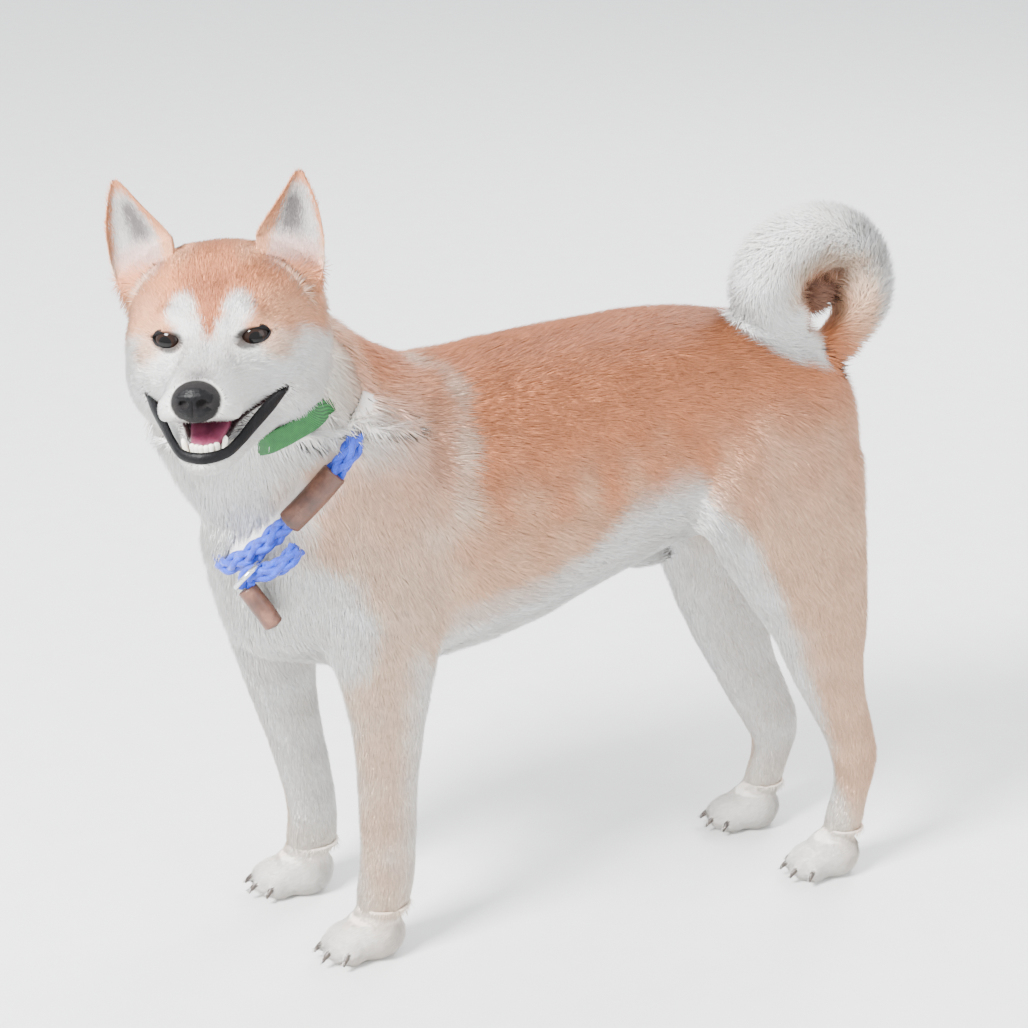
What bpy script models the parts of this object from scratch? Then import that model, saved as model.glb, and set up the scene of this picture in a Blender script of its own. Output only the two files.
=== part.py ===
"""A life-size standing shiba inu with its head turned to its left, its tail curled over its back,
a flat collar and a rope collar. Metres, +Z up. The dog faces -Y, and its left side is +X."""

import math

import bmesh
import bpy
import numpy as np
from mathutils import Matrix, Vector
from mathutils.bvhtree import BVHTree

GAP = 0.0003
VOXEL = 0.0026
SOFTENING = 6
FUSED_TRIANGLES = 40000
FLAT_WITHIN = 1.0
BODY_TRIANGLES = 2200
SECTION_POINTS = 20
STEPS = 3

# Torso: where along the body, top, belly line, half width, how square, where it is widest
TORSO = (
    (-0.224, 0.303, 0.214, 0.049, 2.2, 0.0),
    (-0.205, 0.335, 0.204, 0.063, 2.2, 0.0),
    (-0.175, 0.375, 0.196, 0.072, 2.3, 0.0),
    (-0.140, 0.394, 0.190, 0.077, 2.3, 0.0),
    (-0.085, 0.395, 0.189, 0.080, 2.2, 0.0),
    (-0.030, 0.400, 0.203, 0.081, 2.2, 0.05),
    (0.030, 0.406, 0.229, 0.076, 2.2, 0.05),
    (0.075, 0.408, 0.246, 0.068, 2.2, 0.05),
    (0.120, 0.402, 0.256, 0.067, 2.2, 0.0),
    (0.165, 0.391, 0.262, 0.062, 2.1, 0.0),
    (0.192, 0.368, 0.272, 0.049, 2.0, 0.0),
    (0.203, 0.352, 0.285, 0.036, 2.0, 0.0),
)
TORSO_FRONT = (0.0, -0.235, 0.258)
TORSO_BACK = (0.0, 0.2085, 0.318)

# Neck: centre, half width, half depth
NECK = (
    ((0.000, -0.105, 0.296), 0.076, 0.088),
    ((0.000, -0.148, 0.326), 0.073, 0.083),
    ((0.005, -0.180, 0.352), 0.068, 0.078),
    ((0.014, -0.198, 0.380), 0.062, 0.074),
    ((0.023, -0.208, 0.408), 0.055, 0.062),
)
# Bib of the throat and breast: centre, half sizes, tilt about X
BIB = ((0.004, -0.195, 0.286), (0.056, 0.046, 0.072), 4.0)

# Legs: centre, half width across the dog, half depth along it
FRONT_LEG_LEFT = (
    ((0.055, -0.138, 0.300), 0.026, 0.046),
    ((0.058, -0.138, 0.250), 0.030, 0.042),
    ((0.059, -0.135, 0.205), 0.028, 0.034),
    ((0.057, -0.134, 0.165), 0.023, 0.0255),
    ((0.055, -0.134, 0.125), 0.019, 0.0215),
    ((0.053, -0.134, 0.085), 0.017, 0.0200),
    ((0.053, -0.135, 0.060), 0.0175, 0.0200),
    ((0.053, -0.139, 0.035), 0.0180, 0.0190),
)
FRONT_LEG_RIGHT = (
    ((-0.055, -0.150, 0.300), 0.026, 0.044),
    ((-0.060, -0.165, 0.250), 0.030, 0.044),
    ((-0.060, -0.178, 0.205), 0.028, 0.036),
    ((-0.056, -0.177, 0.165), 0.023, 0.0270),
    ((-0.052, -0.170, 0.125), 0.019, 0.0215),
    ((-0.048, -0.162, 0.085), 0.017, 0.0190),
    ((-0.047, -0.159, 0.060), 0.0175, 0.0185),
    ((-0.047, -0.160, 0.035), 0.0180, 0.0190),
)
HIND_LEG_LEFT = (
    ((0.040, 0.132, 0.345), 0.030, 0.052),
    ((0.050, 0.136, 0.300), 0.034, 0.063),
    ((0.057, 0.150, 0.250), 0.033, 0.051),
    ((0.060, 0.165, 0.202), 0.027, 0.0370),
    ((0.058, 0.174, 0.165), 0.021, 0.0280),
    ((0.054, 0.186, 0.132), 0.017, 0.0215),
    ((0.051, 0.197, 0.106), 0.0155, 0.0185),
    ((0.050, 0.2025, 0.085), 0.0150, 0.0175),
    ((0.049, 0.201, 0.062), 0.0140, 0.0135),
    ((0.049, 0.196, 0.035), 0.0160, 0.0150),
)
HIND_LEG_RIGHT = (
    ((-0.040, 0.130, 0.345), 0.030, 0.052),
    ((-0.050, 0.128, 0.300), 0.034, 0.058),
    ((-0.054, 0.132, 0.250), 0.032, 0.049),
    ((-0.052, 0.139, 0.205), 0.027, 0.0420),
    ((-0.046, 0.145, 0.165), 0.022, 0.0320),
    ((-0.041, 0.157, 0.128), 0.017, 0.0250),
    ((-0.037, 0.170, 0.100), 0.0155, 0.0225),
    ((-0.035, 0.180, 0.076), 0.0150, 0.0200),
    ((-0.035, 0.178, 0.055), 0.0140, 0.0150),
    ((-0.035, 0.172, 0.033), 0.0160, 0.0150),
)

# Shoulder and haunch muscle over the trunk: centre, half sizes, tilt about X
SHOULDERS = (
    ((0.056, -0.128, 0.318), (0.026, 0.044, 0.070), 18.0),
    ((-0.056, -0.136, 0.318), (0.026, 0.044, 0.070), 18.0),
)
SHEATH = ((0.0, 0.052, 0.238), (0.011, 0.034, 0.012), -10.0)

# Paws: centre on the floor, heading in degrees to the dog's left, size
FRONT_PAW_SIZE = 1.0
HIND_PAW_SIZE = 0.93
PAWS = {
    "front_left": ((0.053, -0.148), 6.0, FRONT_PAW_SIZE),
    "front_right": ((-0.047, -0.170), -4.0, FRONT_PAW_SIZE),
    "hind_left": ((0.049, 0.186), 4.0, HIND_PAW_SIZE),
    "hind_right": ((-0.035, 0.162), -6.0, HIND_PAW_SIZE),
}
TOE_ANGLES = (-36.0, -12.0, 12.0, 36.0)

# Head, in its own frame: origin between the eyes, muzzle along -Y, the dog's left +X
HEAD_PLACE = (0.0773, -0.2426, 0.4402)
HEAD_TURN, HEAD_TILT, HEAD_LIFT = 67.0, -4.3, -10.5
# Skull and upper muzzle: along, top, bottom, half width, how square, where it is widest
SKULL = (
    (-0.060, -0.0200, -0.0420, 0.0140, 2.2, 0.0),
    (-0.052, -0.0155, -0.0450, 0.0190, 2.3, -0.1),
    (-0.038, -0.0110, -0.0465, 0.0225, 2.3, -0.15),
    (-0.022, -0.0070, -0.0470, 0.0260, 2.2, -0.2),
    (-0.010, 0.0000, -0.0475, 0.0330, 2.1, -0.2),
    (0.000, 0.0130, -0.0490, 0.0440, 2.1, -0.1),
    (0.012, 0.0330, -0.0520, 0.0530, 2.3, -0.1),
    (0.028, 0.0490, -0.0560, 0.0590, 2.4, -0.1),
    (0.048, 0.0550, -0.0590, 0.0625, 2.4, -0.1),
    (0.068, 0.0520, -0.0580, 0.0620, 2.3, 0.0),
    (0.088, 0.0400, -0.0520, 0.0520, 2.1, 0.0),
)
SKULL_FRONT = (0.0, -0.0640, -0.0330)
SKULL_BACK = (0.0, 0.104, -0.006)
# Forms added on each side of the skull: centre, half sizes, tilt about X
CHEEK = ((0.0355, 0.038, -0.022), (0.0260, 0.037, 0.036), 0.0)
BROW = ((0.0225, 0.008, 0.0125), (0.0120, 0.010, 0.0070), 0.0)
WHISKER_PAD = ((0.0125, -0.046, -0.0345), (0.0125, 0.0150, 0.0115), 0.0)
# Lower jaw, open: centre, half width, half height
JAW = (
    ((0.0, 0.036, -0.045), 0.040, 0.022),
    ((0.0, 0.014, -0.0485), 0.035, 0.0185),
    ((0.0, -0.006, -0.0545), 0.0285, 0.0150),
    ((0.0, -0.024, -0.0610), 0.0220, 0.0118),
    ((0.0, -0.038, -0.0660), 0.0168, 0.0085),
    ((0.0, -0.0455, -0.0680), 0.0120, 0.0065),
)
# The open mouth, seen from the side: along and up, from the corner round the palate and back
MOUTH = (
    (0.004, -0.0315), (-0.012, -0.0370), (-0.026, -0.0425), (-0.042, -0.0455), (-0.080, -0.0440),
    (-0.080, -0.0640), (-0.042, -0.0585), (-0.026, -0.0510), (-0.012, -0.0420),
)
MOUTH_HALF_WIDTH = 0.045
COLOURS = {
    "coat": ((0.55, 0.27, 0.11), 0.9),
    "eye": ((0.03, 0.015, 0.01), 0.1),
    "dark_skin": ((0.02, 0.018, 0.018), 0.5),
    "tongue": ((0.55, 0.22, 0.27), 0.4),
    "teeth": ((0.85, 0.82, 0.74), 0.3),
    "collar_web": ((0.05, 0.45, 0.12), 0.7),
    "rope": ((0.0, 0.2, 0.75), 0.7),
    "leather": ((0.20, 0.11, 0.07), 0.6),
    "ring": ((0.7, 0.7, 0.7), 0.25),
}
SLOTS = {
    "eye_left": "eye",
    "eye_right": "eye",
    "lids_left": "dark_skin",
    "lids_right": "dark_skin",
    "nose": "dark_skin",
    "lip": "dark_skin",
    "tongue": "tongue",
    "teeth_lower": "teeth",
    "collar": "collar_web",
    "rope": "rope",
    "strand": "rope",
    "sleeve": "leather",
    "ferrule": "leather",
    "ring": "ring",
}
# Boxes that part the flesh into nodes, in this order: name, whether in the head's frame, centre,
# half sizes, tilt about X in degrees. The fine nodes are cut first, each with its triangles.
FINE_NODES = {
    "jaw": 420,
    "head": 1300,
    "paw_front_left": 240,
    "paw_front_right": 240,
    "paw_hind_left": 240,
    "paw_hind_right": 240,
}
BOXES = (
    ("jaw", True, (0.0, -0.030, -0.0760), (0.050, 0.042, 0.0300), -12.0),
    ("head", True, (0.0, -0.020, 0.0300), (0.110, 0.098, 0.1000), 0.0),
    ("paw_front_left", False, (0.053, -0.145, 0.010), (0.034, 0.050, 0.028), 0.0),
    ("paw_front_right", False, (-0.047, -0.167, 0.010), (0.034, 0.050, 0.028), 0.0),
    ("paw_hind_left", False, (0.049, 0.186, 0.010), (0.032, 0.050, 0.026), 0.0),
    ("paw_hind_right", False, (-0.035, 0.162, 0.010), (0.032, 0.050, 0.026), 0.0),
    ("forearm_left", False, (0.054, -0.140, 0.100), (0.046, 0.060, 0.096), 0.0),
    ("forearm_right", False, (-0.055, -0.172, 0.096), (0.040, 0.060, 0.092), 0.0),
    ("shank_left", False, (0.052, 0.185, 0.090), (0.050, 0.080, 0.078), 0.0),
    ("shank_right", False, (-0.046, 0.165, 0.090), (0.040, 0.080, 0.078), 0.0),
    ("upper_arm_left", False, (0.087, -0.138, 0.250), (0.040, 0.060, 0.080), 0.0),
    ("upper_arm_right", False, (-0.087, -0.150, 0.250), (0.040, 0.060, 0.080), 0.0),
    ("thigh_left", False, (0.077, 0.155, 0.252), (0.055, 0.100, 0.105), 0.0),
    ("thigh_right", False, (-0.077, 0.145, 0.252), (0.055, 0.100, 0.105), 0.0),
    ("neck", False, (0.0, -0.246, 0.400), (0.150, 0.100, 0.110), 38.0),
    ("chest", False, (0.0, -0.150, 0.300), (0.150, 0.150, 0.200), 0.0),
)
LAST_BOX_NODE = "loin"

# Eyes and lids, on the dog's left: the ball, then the almond of the lids' opening
EYE = ((0.0243, 0.0085, 0.0000), 0.0115)
LID_CENTRE = (0.0252, -0.0022, 0.0)
LID_TURN, LID_SLANT = 24.0, 13.0
LID_HALF_WIDTH, LID_HALF_HEIGHT, LID_THICKNESS = 0.0104, 0.0052, 0.0019
NOSE = ((0.0006, -0.0585, -0.0295), (0.0146, 0.0095, 0.0125))
NOSTRIL = ((0.0062, -0.0670, -0.0300), (0.0030, 0.0040, 0.0026))
TONGUE = (
    ((0.0, 0.002, -0.0440), 0.0100, 0.0030),
    ((0.0, -0.016, -0.0470), 0.0120, 0.0036),
    ((0.0, -0.031, -0.0530), 0.0090, 0.0036),
    ((0.0, -0.0395, -0.0570), 0.0078, 0.0028),
)
# The dark rim of the lower lip on the dog's left, from the mouth's corner to the front
LIP = ((0.0400, 0.0030, -0.0320), (0.0345, -0.0090, -0.0375), (0.0272, -0.0220, -0.0455),
       (0.0200, -0.0350, -0.0540), (0.0125, -0.0450, -0.0600), (0.0000, -0.0495, -0.0620))
LIP_RADIUS = 0.0024
TEETH = ((0.0125, -0.0350, -0.0555), (0.0092, -0.0415, -0.0580), (0.0, -0.0445, -0.0590))
TEETH_SIZE = (0.0016, 0.0030)
CANINE = ((0.0114, -0.0380, -0.0545), 0.0017, 0.0085)
# Ears, on the dog's left: where the base starts and ends, the tip, and rows of how far up,
# half width, depth behind and depth of the cup
EAR_INNER, EAR_OUTER = (0.0238, 0.0330, 0.0540), (0.0610, 0.0420, 0.0260)
EAR_TIP = (0.0550, 0.0250, 0.0925)
EAR_ROWS = (
    (-0.30, 0.0170, 0.0100, -0.0050),
    (0.00, 0.0225, 0.0125, -0.0005),
    (0.15, 0.0220, 0.0130, 0.0065),
    (0.40, 0.0178, 0.0110, 0.0065),
    (0.65, 0.0120, 0.0080, 0.0042),
    (0.85, 0.0066, 0.0052, 0.0018),
    (0.97, 0.0030, 0.0030, 0.0003),
)
EAR_EDGE = 0.0013
EAR_PLUG_TO = 0.32

# Tail: centre, half width, half depth, then where its lengths end along it
TAIL = (
    ((0.000, 0.150, 0.3700), 0.0190, 0.0190),
    ((0.000, 0.180, 0.3650), 0.0225, 0.0225),
    ((-0.003, 0.204, 0.3770), 0.0235, 0.0235),
    ((-0.005, 0.2170, 0.3980), 0.0250, 0.0250),
    ((-0.004, 0.2145, 0.4225), 0.0255, 0.0255),
    ((0.000, 0.1980, 0.4415), 0.0262, 0.0262),
    ((0.004, 0.1740, 0.4455), 0.0272, 0.0272),
    ((0.009, 0.1505, 0.4375), 0.0285, 0.0285),
    ((0.013, 0.1400, 0.4220), 0.0285, 0.0285),
    ((0.016, 0.1395, 0.4110), 0.0235, 0.0235),
    ((0.018, 0.1425, 0.4040), 0.0150, 0.0150),
)
TAIL_NODES = (("tail_root", 0, 3), ("tail_middle", 3, 6), ("tail_end", 6, 10))
# The brush is a core, full size where it is set in the body and then this share of the whole, under
# rings of flat locks: the station where they begin, the stations between them, and how many to a ring
TAIL_CORE, CORE_SET_TO, CORE_THIN_FROM = 0.58, 1.0, 2.4
BRUSH_FROM, BRUSH_PITCH, BRUSH_AROUND = 1.2, 0.96, 6
# A lock: width at root and bend, thickness, how far along the tail its bend and tip lie, and how far
# out its root, bend and tip lie, each as a share of the brush there
LOCK_WIDTHS, LOCK_THICKNESS = (0.0130, 0.0185), 0.0040
LOCK_ALONG, LOCK_OUT = (0.0, 0.45, 1.45), (0.36, 0.84, 0.985)

# Collars: a point on the neck's axis, the way down its front and how far out they lie
COLLAR_CENTRE, COLLAR_DOWN = (0.008, -0.178, 0.3835), (0.0, -0.914, -0.405)
COLLAR_WIDTH, COLLAR_THICKNESS = 0.0130, 0.0026
# The collar shows at the throat's left, and lies under the ruff and the rope elsewhere
COLLAR_SHOWN, COLLAR_SUNK = 0.0025, 0.0172
COLLAR_SHOWS_FROM, COLLAR_SHOWS_TO, COLLAR_EASE = -20.0, 55.0, 40.0
ROPE_CENTRE, ROPE_DOWN = (0.0, -0.169, 0.347), (0.0, -0.660, -0.750)
# The rope lies on the breast and sinks in the coat beyond these angles
ROPE_RADIUS, ROPE_PROUD, ROPE_SUNK = 0.0062, 0.0006, 0.0085
ROPE_SHOWS_FROM, ROPE_SHOWS_TO, ROPE_EASE = -14.0, 92.0, 16.0
AROUND = 34
SLEEVE_FROM, SLEEVE_TO = 0.0, 32.0
SLEEVE_RADIUS = 0.0080
RING = ((0.0600, -0.2215, 0.2820), 0.0108, 0.0017)
RING_LONG, RING_VIEW = (0.42, 0.51, 0.75), (-0.884, 0.304, -0.354)
# The rope's end: from the sleeve through the ring, then its leather cap
STRAND = ((0.0730, -0.1935, 0.3010), (0.0720, -0.2020, 0.2915), (0.0660, -0.2130, 0.2850),
          (0.0600, -0.2215, 0.2820), (0.0600, -0.2235, 0.2740))
STRAND_RADIUS = 0.0056
FERRULE = ((0.0606, -0.2232, 0.2736), (0.0655, -0.2150, 0.2610), (0.0690, -0.2090, 0.2510))
FERRULE_RADIUS = 0.0064
CLAW = ((0.0, -0.0080, 0.0130), (0.0, -0.0130, 0.0112), (0.0, -0.0165, 0.0068))
CLAW_RADII = (0.0026, 0.0022, 0.0009)


def clear_scene():
    for item in list(bpy.data.objects):
        bpy.data.objects.remove(item, do_unlink=True)


def head_matrix():
    turn = Matrix.Rotation(math.radians(HEAD_TURN), 4, "Z")
    tilt = Matrix.Rotation(math.radians(HEAD_TILT), 4, "Y")
    lift = Matrix.Rotation(math.radians(HEAD_LIFT), 4, "X")
    return Matrix.Translation(HEAD_PLACE) @ turn @ tilt @ lift


def mesh_object(name, points, faces):
    mesh = bpy.data.meshes.new(name)
    mesh.from_pydata([tuple(p) for p in points], [], faces)
    bm = bmesh.new()
    bm.from_mesh(mesh)
    bmesh.ops.recalc_face_normals(bm, faces=bm.faces)
    bm.to_mesh(mesh)
    bm.free()
    item = bpy.data.objects.new(name, mesh)
    bpy.context.scene.collection.objects.link(item)
    return item


def flat(row):
    """The numbers of a station in one list, with its points unpacked."""
    numbers = []
    for value in row:
        numbers.extend(value if isinstance(value, (tuple, list, Vector)) else [value])
    return numbers


def smooth_rows(rows, steps=STEPS):
    """Rows of numbers with steps - 1 more between each pair, on a Catmull-Rom curve."""
    rows = np.array([flat(r) for r in rows], float)
    ends = np.vstack([2 * rows[0] - rows[1], rows, 2 * rows[-1] - rows[-2]])
    made = []
    for i in range(len(rows) - 1):
        a, b, c, d = ends[i : i + 4]
        for t in np.arange(steps) / steps:
            made.append(
                0.5 * (2 * b + (c - a) * t + (2 * a - 5 * b + 4 * c - d) * t**2
                       + (3 * b - a - 3 * c + d) * t**3)
            )
    made.append(rows[-1])
    return np.array(made)


def power(value, exponent):
    return math.copysign(abs(value) ** exponent, value)


def loft(name, rings, first_tip, last_tip):
    """A closed skin over rings of points, drawn to a point at each end."""
    count = len(rings[0])
    points = [p for ring in rings for p in ring] + [first_tip, last_tip]
    faces = []
    for r in range(len(rings) - 1):
        for k in range(count):
            a, b = r * count + k, r * count + (k + 1) % count
            faces.append((a, b, b + count, a + count))
    last = (len(rings) - 1) * count
    for k in range(count):
        faces.append((len(points) - 2, (k + 1) % count, k))
        faces.append((len(points) - 1, last + k, last + (k + 1) % count))
    return mesh_object(name, points, faces)


def profile_form(name, rows, front, back, place=None):
    """A form with its sections across Y, each from its top, bottom, half width and squareness."""
    rings = []
    for along, top, bottom, half_width, square, widest in smooth_rows(rows):
        middle, half = (top + bottom) / 2, (top - bottom) / 2
        ring = []
        for k in range(SECTION_POINTS):
            angle = 2 * math.pi * k / SECTION_POINTS
            across = power(math.cos(angle), 2 / square) * half_width
            up = power(math.sin(angle), 2 / square)
            ring.append(Vector((across * (1 + widest * up), along, middle + half * up)))
        rings.append(ring)
    form = loft(name, rings, Vector(front), Vector(back))
    if place is not None:
        form.data.transform(place)
    return form


def path_form(name, stations, side=(1, 0, 0), place=None, caps=(0.6, 0.6), steps=STEPS,
              grown=0.0, points=SECTION_POINTS):
    """A form round a path of stations, each a centre with its half width and half depth."""
    return tube(name, smooth_rows(stations, steps), side, place, caps, grown, points)


def tangents_of(rows):
    centres = [Vector(r[:3]) for r in rows]
    last = len(rows) - 1
    return [(centres[min(i + 1, last)] - centres[max(i - 1, 0)]).normalized() for i in range(last + 1)]


def tube(name, rows, side=(1, 0, 0), place=None, caps=(0.6, 0.6), grown=0.0, points=SECTION_POINTS,
         tangents=None):
    """A closed form over rows of centre, half width and half depth, a cap of 0 leaving an end flat."""
    centres = [Vector(r[:3]) for r in rows]
    last = len(rows) - 1
    tangents = tangents or tangents_of(rows)
    rings = []
    for i, row in enumerate(rows):
        tangent = tangents[i]
        across = (Vector(side) - tangent * tangent.dot(Vector(side))).normalized()
        over = tangent.cross(across)
        ring = []
        for k in range(points):
            angle = 2 * math.pi * k / points
            out = across * (row[3] + grown) * math.cos(angle)
            ring.append(centres[i] + out + over * (row[4] + grown) * math.sin(angle))
        rings.append(ring)
    ends = []
    for ring, here, way, cap in ((rings[0], 0, -1, caps[0]), (rings[-1], last, 1, caps[1])):
        outward = tangents[here] * way
        ends.append(centres[here] + outward * (rows[here][3] * cap + grown))
        for k, point in enumerate(ring):
            ring[k] = point + outward * grown
    form = loft(name, rings, *ends)
    if place is not None:
        form.data.transform(place)
    return form


def ellipsoid(name, centre, half_sizes, tilt=0.0, place=None, segments=20):
    mesh = bpy.data.meshes.new(name)
    bm = bmesh.new()
    bmesh.ops.create_uvsphere(bm, u_segments=segments, v_segments=segments // 2, radius=1.0)
    shape = Matrix.Translation(centre) @ Matrix.Rotation(math.radians(tilt), 4, "X")
    bm.transform((place or Matrix()) @ shape @ Matrix.Diagonal((*half_sizes, 1.0)))
    bm.to_mesh(mesh)
    bm.free()
    item = bpy.data.objects.new(name, mesh)
    bpy.context.scene.collection.objects.link(item)
    return item


def mirrored(centre, side):
    return (centre[0] * side, centre[1], centre[2])


def paw_forms(name):
    """The ball of a paw with its four toes, standing on the floor."""
    (x, y), heading, size = PAWS[name]
    place = Matrix.Translation((x, y, 0)) @ Matrix.Rotation(math.radians(heading), 4, "Z")
    place = place @ Matrix.Scale(size, 4)
    forms = [ellipsoid("ball", (0, 0.004, 0.0165), (0.0195, 0.0215, 0.0205), place=place)]
    for angle in TOE_ANGLES:
        reach = 0.0195 if abs(angle) < 15 else 0.0145
        spread = place @ Matrix.Rotation(math.radians(angle), 4, "Z")
        forms.append(ellipsoid("toe", (0, -reach, 0.0115), (0.0078, 0.0145, 0.0130), 6.0, spread, 14))
    return forms


def head_forms():
    place = head_matrix()
    forms = [
        profile_form("skull", SKULL, SKULL_FRONT, SKULL_BACK, place),
        path_form("jaw form", JAW, place=place),
    ]
    for side in (1, -1):
        for centre, half_sizes, tilt in (CHEEK, BROW, WHISKER_PAD):
            forms.append(ellipsoid("head form", mirrored(centre, side), half_sizes, tilt, place))
    return forms


def body_forms():
    forms = [
        profile_form("torso form", TORSO, TORSO_FRONT, TORSO_BACK),
        path_form("neck form", NECK),
        ellipsoid("sheath", *SHEATH),
    ]
    for centre, half_sizes, tilt in SHOULDERS:
        forms.append(ellipsoid("shoulder", centre, half_sizes, tilt))
    forms.append(ellipsoid("bib", *BIB))
    for stations in (FRONT_LEG_LEFT, FRONT_LEG_RIGHT, HIND_LEG_LEFT, HIND_LEG_RIGHT):
        forms.append(path_form("leg form", stations))
    for name in PAWS:
        forms.extend(paw_forms(name))
    return forms


def finished(item):
    """The object's mesh with its modifiers applied, in world space."""
    graph = bpy.context.evaluated_depsgraph_get()
    mesh = bpy.data.meshes.new_from_object(item.evaluated_get(graph))
    mesh.transform(item.matrix_world)
    old = item.data
    item.modifiers.clear()
    item.data = mesh
    item.matrix_world = Matrix()
    bpy.data.meshes.remove(old)
    return item


def joined(name, forms):
    """One object that holds the loose shells of several."""
    bm = bmesh.new()
    for form in forms:
        bm.from_mesh(form.data)
    mesh = bpy.data.meshes.new(name)
    bm.to_mesh(mesh)
    bm.free()
    for form in forms:
        bpy.data.objects.remove(form, do_unlink=True)
    item = bpy.data.objects.new(name, mesh)
    bpy.context.scene.collection.objects.link(item)
    return item


def fused(name, forms):
    """The forms as one smooth closed skin."""
    item = joined(name, forms)
    remesh = item.modifiers.new("Fuse", "REMESH")
    remesh.mode = "VOXEL"
    remesh.voxel_size = VOXEL
    soften = item.modifiers.new("Soften", "SMOOTH")
    soften.factor = 0.5
    soften.iterations = SOFTENING
    return finished(item)


def boolean(item, cutter, operation, solver="MANIFOLD"):
    """The item after a Boolean with the cutter, which stays in the scene."""
    step = item.modifiers.new("Boolean", "BOOLEAN")
    step.operation = operation
    step.solver = solver
    step.object = cutter
    return finished(item)


def drop(*items):
    for item in items:
        bpy.data.objects.remove(item, do_unlink=True)


def copy_of(item, name):
    twin = item.copy()
    twin.data = item.data.copy()
    twin.name = name
    bpy.context.scene.collection.objects.link(twin)
    return twin


def largest_shell(item):
    """The item with only its largest closed surface, and its flat faces as triangles."""
    bm = bmesh.new()
    bm.from_mesh(item.data)
    bmesh.ops.remove_doubles(bm, verts=bm.verts, dist=0.000001)
    bm.faces.ensure_lookup_table()
    seen, shells = set(), []
    for face in bm.faces:
        if face in seen:
            continue
        shell, front = [], [face]
        seen.add(face)
        while front:
            here = front.pop()
            shell.append(here)
            for edge in here.edges:
                for near in edge.link_faces:
                    if near not in seen:
                        seen.add(near)
                        front.append(near)
        shells.append(shell)
    shells.sort(key=lambda faces: -sum(f.calc_area() for f in faces))
    for shell in shells[1:]:
        bmesh.ops.delete(bm, geom=shell, context="FACES")
    bmesh.ops.dissolve_limit(bm, angle_limit=math.radians(FLAT_WITHIN), verts=bm.verts, edges=bm.edges)
    bmesh.ops.triangulate(bm, faces=bm.faces)
    bm.to_mesh(item.data)
    bm.free()
    return item


def box_cutter(centre, half_sizes, tilt, place, grown=0.0):
    mesh = bpy.data.meshes.new("box")
    bm = bmesh.new()
    bmesh.ops.create_cube(bm, size=2.0)
    shape = Matrix.Translation(centre) @ Matrix.Rotation(math.radians(tilt), 4, "X")
    bm.transform(place @ shape @ Matrix.Diagonal((*(h + grown for h in half_sizes), 1.0)))
    bm.to_mesh(mesh)
    bm.free()
    item = bpy.data.objects.new("box", mesh)
    bpy.context.scene.collection.objects.link(item)
    return item


def part_flesh(flesh):
    """The flesh parted into nodes by thin cuts."""
    nodes = {}
    lightened_body = False
    for name, in_head, centre, half_sizes, tilt in BOXES:
        place = head_matrix() if in_head else Matrix()
        inner = box_cutter(centre, half_sizes, tilt, place)
        outer = box_cutter(centre, half_sizes, tilt, place, GAP)
        if name not in FINE_NODES and not lightened_body:
            flesh = lightened(flesh, BODY_TRIANGLES)
            lightened_body = True
        node = boolean(copy_of(flesh, name), inner, "INTERSECT")
        if name in FINE_NODES:
            node = lightened(node, FINE_NODES[name])
        nodes[name] = largest_shell(node)
        flesh = boolean(flesh, outer, "DIFFERENCE")
        drop(inner, outer)
    flesh.name = LAST_BOX_NODE
    nodes[LAST_BOX_NODE] = largest_shell(flesh)
    return nodes


def prism(name, outline, half_width, place):
    """A solid with one outline in the plane of the head's middle, drawn out to both sides."""
    count = len(outline)
    points = [place @ Vector((side * half_width, y, z)) for side in (1, -1) for y, z in outline]
    faces = [tuple(range(count)), tuple(range(2 * count - 1, count - 1, -1))]
    for k in range(count):
        faces.append((k, (k + 1) % count, (k + 1) % count + count, k + count))
    return mesh_object(name, points, faces)


def lightened(item, triangles):
    """The item brought down to about so many triangles."""
    step = item.modifiers.new("Lighten", "DECIMATE")
    step.ratio = min(1.0, triangles / sum(len(p.vertices) - 2 for p in item.data.polygons))
    return finished(item)


def boxes_meet(one, other):
    """Whether the boxes round two unturned objects overlap."""
    spans = []
    for item in (one, other):
        points = np.array([v.co for v in item.data.vertices])
        spans.append((points.min(0), points.max(0)))
    return bool(np.all(spans[0][0] < spans[1][1]) and np.all(spans[1][0] < spans[0][1]))


def merged(name, parts, operation="UNION"):
    """One closed body from the first part joined with the others, which are used up."""
    body = parts[0]
    for other in parts[1:]:
        body = boolean(body, other, operation)
        drop(other)
    body.name = name
    return body


def lid_place(side):
    place = head_matrix() @ Matrix.Translation(mirrored(LID_CENTRE, side))
    place = place @ Matrix.Rotation(math.radians(LID_TURN * side), 4, "Z")
    return place @ Matrix.Rotation(math.radians(-LID_SLANT * side), 4, "Y")


def almond(name, side, thickness):
    """A closed ring of round section along the edge of the eye's opening."""
    place = lid_place(side)
    count, points, faces = 20, [], []
    for k in range(count):
        angle = 2 * math.pi * k / count
        across, up = math.cos(angle), math.sin(angle)
        centre = Vector((LID_HALF_WIDTH * across, 0.0030 * across**2, LID_HALF_HEIGHT * power(up, 1.25)))
        out = Vector((across * LID_HALF_HEIGHT, 0, up * LID_HALF_WIDTH)).normalized()
        for j in range(6):
            turn = 2 * math.pi * j / 6
            points.append(place @ (centre + out * thickness * math.cos(turn)
                                   + Vector((0, 1.5 * thickness * math.sin(turn), 0))))
    for k in range(count):
        for j in range(6):
            a, b = k * 6 + j, k * 6 + (j + 1) % 6
            faces.append((a, b, (b + 6) % (6 * count), (a + 6) % (6 * count)))
    return mesh_object(name, points, faces)


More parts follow.
